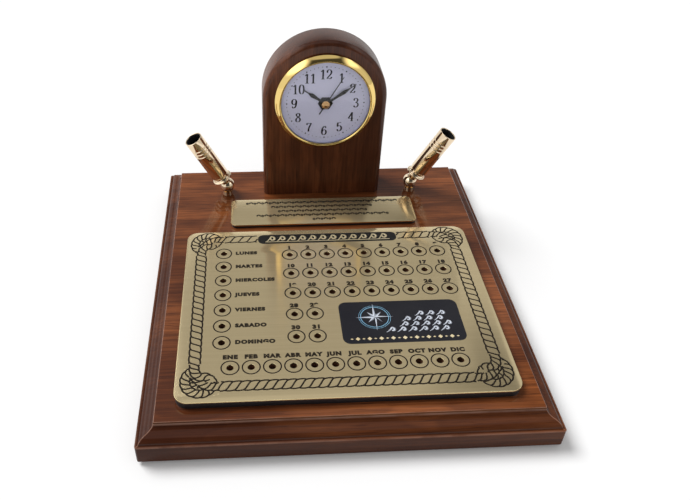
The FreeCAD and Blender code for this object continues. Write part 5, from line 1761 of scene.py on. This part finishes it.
# ---- arched block
@dataclass
class ArchBlock:
    """Solid wooden block with a round top, bored for the clock."""

    front_round: float = 4 * MM
    back_round: float = 1 * MM
    bore_radius: float = 32.5 * MM
    bore_depth: float = 19 * MM
    bore_arris: float = 0.4 * MM
    arch_sides: int = 128
    pilot: Point = (2 * MM, 22 * MM)

    def block(self) -> Piece:
        """Model the block: half a disc, drawn down to the board and back, rounded and bored."""
        low, high = ARCH_LOW, ARCH_HIGH
        half = (high.x - low.x) / 2
        spring = high.z - half
        relax()
        upright = (radians(90), 0, 0)
        bpy.ops.mesh.primitive_circle_add(vertices=self.arch_sides, radius=half, fill_type="NGON",
                                          location=(ARCH_MIDDLE.x, low.y, spring), rotation=upright)
        piece = bpy.context.object
        piece.name = "arched_block"
        keep_place()
        with editing(piece, Kind.EDGES):
            pick_all()
            bpy.ops.mesh.bisect(plane_co=(ARCH_MIDDLE.x, low.y, spring), plane_no=(0, 0, 1), clear_inner=True)
            pick(piece, Kind.EDGES, lambda edge: all(abs(v.co.z - spring) < 0.01 * MM for v in edge.verts))
            bpy.ops.mesh.extrude_edges_move(TRANSFORM_OT_translate={"value": (0, 0, low.z - spring)})
            pick_all()
            bpy.ops.mesh.dissolve_limited(angle_limit=radians(0.5))
            pick_all()
            draw_out(0, high.y - low.y, 0)
            face_out(merge=False)
            for y, radius, steps in ((low.y, self.front_round, 8), (high.y, self.back_round, 3)):
                self.pick_rim(piece, y, low.z)
                bpy.ops.mesh.bevel(offset=radius, segments=steps, affect="EDGES", clamp_overlap=False)
        mouth = self.bore_radius + self.bore_arris + MM
        stations = [(0, -self.bore_depth), (self.bore_radius, -self.bore_depth),
                    (self.bore_radius, -self.bore_arris), (mouth, MM), (0, MM)]
        combine(piece, settle(turned("bore", stations, 96), CLOCK_SEAT), Solid.CUT)
        for side in (-1, 1):
            radius, top = self.pilot[0], low.z + self.pilot[1]
            pilot = turned("pilot", [(0, low.z - MM), (radius, low.z - MM), (radius, top), (0, top)], 24)
            x = ARCH_MIDDLE.x + side * SCREW_SPAN / 2
            combine(piece, settle(pilot, Matrix.Translation((x, ARCH_MIDDLE.y, 0))), Solid.CUT)
        return smooth(piece)

    @staticmethod
    def pick_rim(piece: Piece, y: float, bottom: float) -> None:
        """Select the arched rim of one face, without its bottom edge."""
        def on_rim(edge: bmesh.types.BMEdge) -> bool:
            """Whether an edge is on the rim."""
            ends = [vert.co for vert in edge.verts]
            on_face = all(abs(end.y - y) < 0.01 * MM for end in ends)
            return on_face and max(end.z for end in ends) > bottom + MM
        pick(piece, Kind.EDGES, on_rim)

    def build(self) -> None:
        """Make and dress the block."""
        piece = install(self.block(), BLOCK_WOOD, "stand", "block_wood", "clock_arch")

        def bored(centre: Vector, normal: Vector) -> bool:
            """Whether a face is inside the bore."""
            away = hypot(centre.x - CLOCK_CENTRE.x, centre.z - CLOCK_CENTRE.z)
            return away < self.bore_radius - 0.1 * MM and ARCH_LOW.y + MM < centre.y < ARCH_HIGH.y - MM
        paint_faces(piece, RAW_WOOD, bored)


CLOCK_CENTRE = Vector((ARCH_MIDDLE.x, ARCH_LOW.y, ARCH_HIGH.z - (ARCH_HIGH.x - ARCH_LOW.x) / 2))
CLOCK_SEAT = Matrix.Translation(CLOCK_CENTRE) @ Matrix.Rotation(radians(90), 4, "X")


# ---- clock face; figures are drawn in hundredths of their height, one stroke after another
DIGIT_STROKES = {
    "0": "31,100 14,90 7,50 14,10 31,0 48,10 55,50 48,90 31,100",
    "1": "6,80 20,88 30,100; 30,100 30,50 30,0; 10,0 30,0 50,0",
    "2": "8,72 12,92 30,100 48,90 52,72 44,50 24,26 6,4; 6,5 26,7 46,4 56,22",
    "3": "8,78 14,95 30,100 46,90 47,72 38,58 22,53; 22,53 42,48 54,32 52,14 38,1 20,0 8,16",
    "4": "42,0 42,50 42,100; 42,100 22,62 2,29; 2,29 30,29 60,29; 27,0 42,0 57,0",
    "5": "13,97 30,96 50,100; 13,97 12,76 10,52; 10,52 26,62 44,58 55,36 50,12 34,0 18,1 7,16",
    "6": "50,86 40,99 24,93 11,70 6,36 12,10 29,0 47,8 55,30 48,52 31,60 15,50 7,32",
    "7": "6,78 10,96 30,95 56,98; 56,98 42,70 27,34 25,0",
    "8": "31,100 15,92 13,73 30,56 49,40 53,20 42,3 28,0 11,6 7,24 15,42 32,55 47,72 45,92 31,100",
    "9": "11,14 21,1 37,7 50,30 55,64 49,90 32,100 14,92 6,70 13,48 30,40 46,50 54,68",
}
DIGIT_BALLS = {"2": (10, 73), "3": (11, 79), "5": (10, 15), "6": (48, 86), "9": (13, 14)}


@dataclass(frozen=True)
class Numerals:
    """Upright figures drawn with a broad nib."""

    height: float = 7.1 * MM
    thick: float = 0.17
    thin: float = 0.055
    advance: float = 0.62
    slim: float = 0.92
    ball: float = 0.15

    def figure(self, digit: str, at: Point) -> list[Stroke]:
        """Draw one figure.

        Args:
            digit: Which figure.
            at: Its lower left corner.

        Returns:
            Its strokes.
        """
        unit = self.height / 100

        def put(point: Point) -> Point:
            """Where a point of the figure comes."""
            return at[0] + point[0] * unit * self.slim, at[1] + point[1] * unit
        strokes = []
        for skeleton in DIGIT_STROKES[digit].split(";"):
            points = flowing([tuple(map(int, knot.split(","))) for knot in skeleton.split()], 4)
            widths = []
            for number in range(len(points)):
                before, after = points[max(number - 1, 0)], points[min(number + 1, len(points) - 1)]
                slope = abs(sin(atan2(after[1] - before[1], after[0] - before[0])))
                share = self.thin + (self.thick - self.thin) * slope ** 1.5
                widths.append(share * self.height)
            strokes.append(Stroke([put(point) for point in points], widths))
        if digit in DIGIT_BALLS:
            reach = self.ball * self.height * 0.5
            dot = circle(put(DIGIT_BALLS[digit]), reach * 0.5, 8)
            strokes.append(Stroke.even(dot, reach, closed=True))
        return strokes

    def number(self, value: int, centre: Point) -> list[Stroke]:
        """Draw a whole number centred on a place."""
        digits = str(value)
        advance = self.advance * self.height
        left = centre[0] - advance * len(digits) / 2
        strokes = []
        for place, digit in enumerate(digits):
            strokes += self.figure(digit, (left + place * advance, centre[1] - self.height / 2))
        return strokes


@dataclass
class ClockFace:
    """Dial printing, lens, bezel, hands and cap of the push-in clock."""

    numerals: Numerals = Numerals()
    numeral_radius: float = 22.6 * MM
    dot_radius: float = 28.3 * MM
    minute_dot: float = 0.62 * MM
    hour_dot: float = 1.15 * MM
    lens_edge: float = 1.2 * MM
    lens_rise: float = 5.6 * MM
    lens_seat: float = 3.4 * MM
    cap_rim: float = 0.4 * MM
    shown_second: float = 5
    pointer_half: Point = (0.45 * MM, 0.225 * MM)
    pointer_reach: Point = (24.8 * MM, 8.9 * MM)
    pointer_hub: Point = (1.6 * MM, 0.45 * MM)

    def place_on_dial(self, radius: float, minute: float) -> Point:
        """Point on the dial under a minute mark."""
        angle = radians(90 - 6 * minute)
        return radius * cos(angle), radius * sin(angle)

    def printing(self) -> None:
        """Print the figures and the dots on the dial."""
        level = CLOCK_CENTRE.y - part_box("dial")[0].y
        strokes = []
        for hour in range(1, 13):
            strokes += self.numerals.number(hour, self.place_on_dial(self.numeral_radius, 5 * hour))
        dots = []
        for minute in range(60):
            reach = self.hour_dot if minute % 5 == 0 else self.minute_dot
            dots.append(circle(self.place_on_dial(self.dot_radius, minute), reach / 2, 8))
        prints = (printed_lines("dial_numerals", strokes, level), printed_fill("minute_dots", dots, level))
        for piece in prints:
            install(settle(piece, CLOCK_SEAT), DIAL_INK, "clock_insert", "dial_white")

    def bezel(self) -> Piece:
        """Model the gold ring: upright side, rounded front, lip and inner wall."""
        low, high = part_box("bezel")
        height = high.y - low.y
        outer = (high.x - low.x) / 2
        opening = outer - 4.8 * MM
        lip = height - 0.9 * MM
        flange = outer - 2.15 * MM
        seat = outer - 3.35 * MM
        start = (flange, 0)
        side = (outer, 1.65 * MM)
        crest = (opening + 1.2 * MM, height)
        stations = [start, (outer - 0.15 * MM, 0), (outer, 0.15 * MM), side]
        stations += bow(side, (outer - 1.55 * MM, height - 1.7 * MM), crest, 10)
        stations += bow(crest, (opening + 0.3 * MM, height - 0.3 * MM), (opening, lip), 6)
        stations += [(seat, lip), (seat, 1.2 * MM), (flange, 1.2 * MM), start]
        return settle(turned("gold_bezel", stations, 160), CLOCK_SEAT)

    def lens(self) -> Piece:
        """Model the domed lens with its flat edge."""
        low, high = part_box("lens")
        radius = (high.x - low.x) / 2
        rim = radius - 1.5 * MM
        inner_rim = rim - 0.3 * MM
        seat, front = self.lens_seat, self.lens_seat + self.lens_edge
        inner_top = seat + self.lens_rise
        outer_top = inner_top + self.lens_edge
        stations = [(0, inner_top)]
        stations += self.dome(inner_rim, seat, inner_top, 12)[::-1][1:]
        stations += [(radius, seat), (radius, front), (rim, front)]
        stations += self.dome(rim, front, outer_top, 12)[1:]
        return settle(turned("clear_lens", stations, 128), CLOCK_SEAT)

    @staticmethod
    def dome(radius: float, edge: float, top: float, steps: int) -> Line:
        """Line of a spherical dome, from its rim to its pole."""
        rise = top - edge
        sphere = (radius ** 2 + rise ** 2) / (2 * rise)
        limit = asin(radius / sphere)
        angles = [limit * (1 - step / steps) for step in range(steps + 1)]
        return [(sphere * sin(angle), top - sphere * (1 - cos(angle))) for angle in angles]

    def cap(self) -> Piece:
        """Model the domed cap over the hands, with its socket."""
        low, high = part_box("hand_cap")
        radius = (high.x - low.x) / 2
        base, top = CLOCK_CENTRE.y - high.y, CLOCK_CENTRE.y - low.y
        socket = 0.45 * MM
        start = (socket, base)
        stations = [start, (radius - 0.1 * MM, base), (radius, base + 0.1 * MM),
                    (radius, base + self.cap_rim)]
        stations += self.dome(radius, base + self.cap_rim, top, 8)[1:-1]
        stations += [(TINY, top), (TINY, base + 0.8 * MM), (socket, base + 0.8 * MM), start]
        return settle(turned("bronze_cap", stations, 48), CLOCK_SEAT)

    def pointer(self) -> Piece:
        """Model the second hand: a tapered blade with a tail and a bored round hub."""
        low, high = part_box("second_hand")
        (half, tip), (length, tail), (hub, bore) = self.pointer_half, self.pointer_reach, self.pointer_hub
        limit = acos(half / hub)
        angles = [limit * (step / 4 - 1) for step in range(9)]
        left = [(-half, -tail)] + [(-hub * cos(a), hub * sin(a)) for a in angles] + [(-tip, length)]
        hole = circle((0, 0), bore, 16)
        turn = radians(6 * self.shown_second)
        outlines = [[(x * cos(turn) + y * sin(turn), y * cos(turn) - x * sin(turn))
                     for x, y in points] for points in (left + [(-x, y) for x, y in reversed(left)], hole)]
        blade = printed_fill("second_pointer", outlines, CLOCK_CENTRE.y - high.y, high.y - low.y)
        return settle(blade, CLOCK_SEAT)

    def build(self) -> None:
        """Make and dress the face."""
        self.printing()
        install(self.pointer(), HAND_BLACK, "seconds", "hand_black", "second_hand")
        install(self.bezel(), GOLD_PLATE, "clock_insert", "gold_bezel", "bezel")
        install(self.lens(), LENS_CLEAR, "clock_insert", "lens_clear", "lens")
        install(self.cap(), CAP_BRONZE, "seconds", "cap_brass", "hand_cap")


# ---- pen holders
@dataclass
class PenHolder:
    """Hollow ball, flared collar, grooved tube and black liner, leaning on a swivel stud."""

    side: str
    turn: float
    lean: float = radians(28)
    ball_radius: float = 5.7 * MM
    ball_wall: float = 1.25 * MM
    neck_gap: float = 1.4 * MM
    least_lean: float = radians(-5)
    most_lean: float = radians(58)
    stem: float = 2.2 * MM
    collar_lip: float = 7.9 * MM
    collar_neck: float = 6.5 * MM
    collar_bottom: float = 7.9 * MM
    foot: float = 10.3 * MM
    tube: float = 6.9 * MM
    tube_neck: float = 6.1 * MM
    wall: float = 0.75 * MM
    mouth: float = 51.5 * MM
    groove: Point = (1.3 * MM, 0.4 * MM)
    groove_pitch: float = 3 * MM
    groove_from_mouth: float = 8.2 * MM
    grooves: int = 3
    sides: int = 72

    def seat(self) -> Matrix:
        """Where the ball's centre is, turned and leaned."""
        centre = joint_place(self.side + "_tilt")
        turn = Matrix.Rotation(self.turn, 4, "Z") @ Matrix.Rotation(self.lean, 4, "Y")
        return Matrix.Translation(centre) @ turn

    def ball(self) -> Piece:
        """Model the hollow ball with its stem and the slot for the stud's neck."""
        inner = self.ball_radius - self.ball_wall
        meet = sqrt(self.ball_radius ** 2 - self.stem ** 2)
        top = self.foot + 1.6 * MM
        limit = atan2(self.stem, meet)
        angles = [pi + (limit - pi) * step / 28 for step in range(29)]
        outer = [(self.ball_radius * sin(a), self.ball_radius * cos(a)) for a in angles]
        stations = [(0, outer[0][1])] + outer[1:] + [(self.stem, top), (0, top)]
        piece = turned(self.side + "_ball", stations, self.sides)
        hollow = [(inner * sin(pi * step / 20), -inner * cos(pi * step / 20)) for step in range(21)]
        combine(piece, turned("hollow", hollow, 48), Solid.CUT)
        combine(piece, self.neck_slot(), Solid.CUT)
        return settle(smooth(piece), self.seat())

    def neck_slot(self) -> Piece:
        """Cutter for the slot that the stud's neck runs in: a rod swept by a spin about the ball's centre."""
        margin = asin(self.neck_gap / (self.ball_radius - self.ball_wall))
        first = self.least_lean - margin
        sweep = self.most_lean - self.least_lean + 2 * margin
        reach = self.ball_radius + 2 * MM
        relax()
        upright = (0, radians(90), 0)
        bpy.ops.mesh.primitive_plane_add(size=1, location=(0, 0, -reach / 2), rotation=upright)
        piece = bpy.context.object
        piece.scale = (reach, 2 * self.neck_gap, 1)
        keep_place()
        with editing(piece):
            pick_all()
            bpy.ops.mesh.spin(steps=10, angle=sweep, center=(0, 0, 0), axis=(0, 1, 0))
            face_out()
        reached = max(vert.co.x for vert in piece.data.vertices)
        turn = first if reached < 0.5 * MM else first + sweep
        return settle(piece, Matrix.Rotation(-turn if reached < 0.5 * MM else -first, 4, "Y"))

    def collar(self) -> Piece:
        """Model the flared collar with its rolled lip."""
        lip, soft = self.collar_bottom, 0.5 * MM
        web = self.foot - 0.9 * MM
        start = (self.stem, web)
        under = (self.collar_lip - soft - 0.8 * MM, lip)
        stations = [start, (self.collar_neck - 0.6 * MM, web), under, (self.collar_lip - soft, lip)]
        rolled = (self.collar_lip, lip + 0.65 * MM)
        stations += bow((self.collar_lip - soft, lip), rolled, (self.collar_lip - soft, lip + 1.3 * MM), 6)
        waist = (self.collar_neck + 0.1 * MM, lip + 1.6 * MM)
        stations += bow(stations[-1], waist, (self.collar_neck, self.foot - soft), 4)
        stations += [(self.collar_neck - soft, self.foot), (self.stem, self.foot), start]
        return settle(turned(self.side + "_collar", stations, self.sides), self.seat())

    def barrel(self) -> Piece:
        """Model the tube: narrow foot, shoulder, three grooves and a rounded lip."""
        bore = self.tube - self.wall
        start = (self.stem, self.foot)
        shoulder = self.foot + 2.6 * MM
        stations = [start, (self.tube_neck - 0.15 * MM, self.foot), (self.tube_neck, self.foot + 0.15 * MM),
                    (self.tube_neck, self.foot + 1.2 * MM)]
        stations += bow(stations[-1], (self.tube - 0.22 * MM, shoulder - 0.5 * MM), (self.tube, shoulder), 5)
        first = self.mouth - self.groove_from_mouth - (self.grooves - 1) * self.groove_pitch
        width, depth = self.groove
        for number in range(self.grooves):
            low = (self.tube, first + number * self.groove_pitch - width / 2)
            high = (self.tube, low[1] + width)
            stations += [low] + bow(low, (self.tube - depth, (low[1] + high[1]) / 2), high, 8)
        lip = self.mouth - 0.35 * MM
        stations.append((self.tube, lip))
        stations += bow((self.tube, lip), (self.tube - self.wall / 2, self.mouth), (bore, lip), 8)
        floor = self.foot + 1.6 * MM
        stations += [(bore, floor + 1.4 * MM), (bore - 0.9 * MM, floor), (self.stem, floor), start]
        return settle(turned(self.side + "_barrel", stations, self.sides), self.seat())

    def liner(self) -> Piece:
        """Model the black cup inside the tube."""
        outer = self.tube - self.wall
        inner = outer - 0.5 * MM
        floor = self.foot + 3 * MM
        top = self.mouth - 0.5 * MM
        stations = [(0, floor), (outer, floor), (outer, top - 0.1 * MM), (outer - 0.1 * MM, top),
                    (inner + 0.1 * MM, top), (inner, top - 0.1 * MM), (inner, floor + 1.2 * MM),
                    (0, floor + 1.2 * MM)]
        return settle(turned(self.side + "_cup", stations, self.sides), self.seat())

    def build(self) -> None:
        """Make and dress the holder."""
        body = self.side + "_pen_holder"
        for piece, part in ((self.ball(), "ball"), (self.collar(), "collar"), (self.barrel(), "tube")):
            install(piece, PEN_BRASS, body, "polished_brass", self.side + "_pen_" + part)
        install(self.liner(), LINER_BLACK, body, "black_plastic", self.side + "_pen_liner")


# ---- studio
@dataclass(frozen=True)
class Viewpoint:
    """Camera with a given place, direction and picture centre."""

    place: Triple = (-0.0511, -0.3811, 0.3532)
    ahead: Triple = (0.04574, 0.77409, -0.63142)
    right: Triple = (0.99856, -0.05325, 0.00706)
    focal_pixels: float = 717.15
    centre: Point = (290.37, 249.49)
    frame_size: tuple[int, int] = (690, 500)
    sensor: float = 36

    def build(self) -> None:
        """Set the camera up."""
        data = bpy.data.cameras.new("view")
        width, height = self.frame_size
        data.sensor_width = self.sensor
        data.lens = self.focal_pixels / width * self.sensor
        data.shift_x = (width / 2 - self.centre[0]) / width
        data.shift_y = (self.centre[1] - height / 2) / width
        data.clip_start = 0.01
        camera = new_object("view", data)
        ahead = Vector(self.ahead).normalized()
        right = Vector(self.right).normalized()
        up = right.cross(ahead)
        turn = Matrix((right, up, -ahead)).transposed().to_4x4()
        camera.matrix_world = Matrix.Translation(self.place) @ turn
        bpy.context.scene.camera = camera


@dataclass(frozen=True)
class Lamp:
    """A broad soft lamp, far enough away to light the set evenly."""

    name: str
    towards: Triple
    spread: float
    power: float

    def build(self) -> None:
        """Hang the lamp."""
        data = bpy.data.lights.new(self.name, "SUN")
        data.angle = radians(self.spread)
        data.energy = self.power
        lamp = new_object(self.name, data)
        lamp.location = -Vector(self.towards)
        lamp.rotation_euler = Vector(self.towards).to_track_quat("-Z", "Y").to_euler()
        lamp.visible_glossy = False


KEY = Lamp("key", (0.52, -0.32, -0.79), 32, 2.9)


@dataclass
class Studio:
    """Pale floor, soft lamp, sky and camera."""

    floor_size: float = 6
    paper: Colour = (0.8, 0.8, 0.8)
    lift: float = 0.1
    ambient: float = 0.44
    ceiling: float = 0.06
    left_wall: float = 0.9
    left_lamp: float = 2.2
    backdrop: float = 0.3
    corner: float = 0.02
    window: float = 0.55
    right_wall: float = 0.7
    right_lamp: float = 1.7
    zenith: float = 0.6

    def build(self) -> None:
        """Set the studio up."""
        relax()
        bpy.ops.mesh.primitive_plane_add(size=self.floor_size, location=(0, 0, 0))
        floor = bpy.context.object
        floor.name = "floor"
        floor.data.materials.append(StudioWhite("studio_white", self.paper, self.lift).material())
        self.light_sky()
        KEY.build()
        Viewpoint().build()

    def mirrored(self, graph: Graph) -> Socket:
        """What polished surfaces mirror: a white backdrop under a dark ceiling, between pale walls."""
        way = graph.axes(graph.coordinates("Generated"))
        across, depth, height = way["X"], way["Y"], way["Z"]
        aside = graph.math("DIVIDE", across, graph.math("MAXIMUM", depth, 0.05))
        behind = graph.math("ADD", graph.band(height, 0.36, 0.48, 0.7, 0),
                            graph.band(aside, 0.46, 0.62, self.backdrop, self.corner))
        ahead = graph.band(height, -0.05, 0.14, 1, self.ceiling)
        back = graph.band(depth, -0.1, 0.2)
        level = graph.mix(back, ahead, behind)
        level = graph.mix(graph.band(across, -0.6, -0.3, 1, 0), level,
                           graph.band(height, 0.3, 0.5, self.left_wall, self.left_lamp))
        level = graph.mix(graph.band(across, 0.45, 0.7), level,
                           graph.band(height, 0.4, 0.6, self.right_wall, self.right_lamp))
        pane = graph.times(graph.band(aside, 0.4, 0.52), graph.band(height, 0.63, 0.7, 1, 0))
        level = graph.mix(graph.times(pane, back), level, self.window)
        return graph.mix(graph.band(height, 0.86, 0.93), level, self.zenith)

    def light_sky(self) -> None:
        """Soft light from all round: white to the eye and to glass, and a plain room for metal to mirror."""
        world = bpy.data.worlds.new("sky")
        world.use_nodes = True
        world.node_tree.nodes.clear()
        graph = Graph(world.node_tree)
        seen = graph.add("LightPath")
        strength = graph.mix(seen["Is Glossy Ray"], self.ambient, self.mirrored(graph))
        bare = graph.math("MAXIMUM", seen["Is Camera Ray"], seen["Is Transmission Ray"])
        strength = graph.mix(bare, strength, 1)
        glow = graph.add("Background", {"Color": (1, 1, 1), "Strength": strength})
        graph.add("OutputWorld", {"Surface": glow[0]})
        bpy.context.scene.world = world


def dress_nodes() -> None:
    """Give every CAD node that stays visible its finish."""
    for finish, names in FINISHED_NODES:
        for name in names.split():
            node = frame["nodes"][name]
            if not node.material_slots:
                node.data.materials.append(finish.material())
            for place in node.material_slots:
                place.material = finish.material()
            LOG.info("%s: dressed in %s", name, finish.name)


def main() -> None:
    """Build the set in order and report each piece."""
    logging.basicConfig(level=logging.INFO, format="%(name)s %(message)s")
    bpy.context.scene.view_settings.view_transform = "Standard"
    dress_nodes()
    BaseBoard().build()
    Nameplate("calendar", 8 * MM, drilled=True).build()
    Nameplate("dedication", 4.5 * MM, drilled=False).build()
    CalendarPrint(PLATE_HIGH.z).build()
    RopeBorder(PLATE_HIGH.z).build()
    TitleBar(PLATE_HIGH.z).build()
    PicturePanel(PLATE_HIGH.z).build()
    low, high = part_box("dedication_plate")
    DedicationPrint(high.z, low, high).build()
    ArchBlock().build()
    ClockFace().build()
    PenHolder("left", radians(192.5)).build()
    PenHolder("right", radians(-12.5)).build()
    Studio().build()
    relax()


if __name__ == "__main__":
    main()
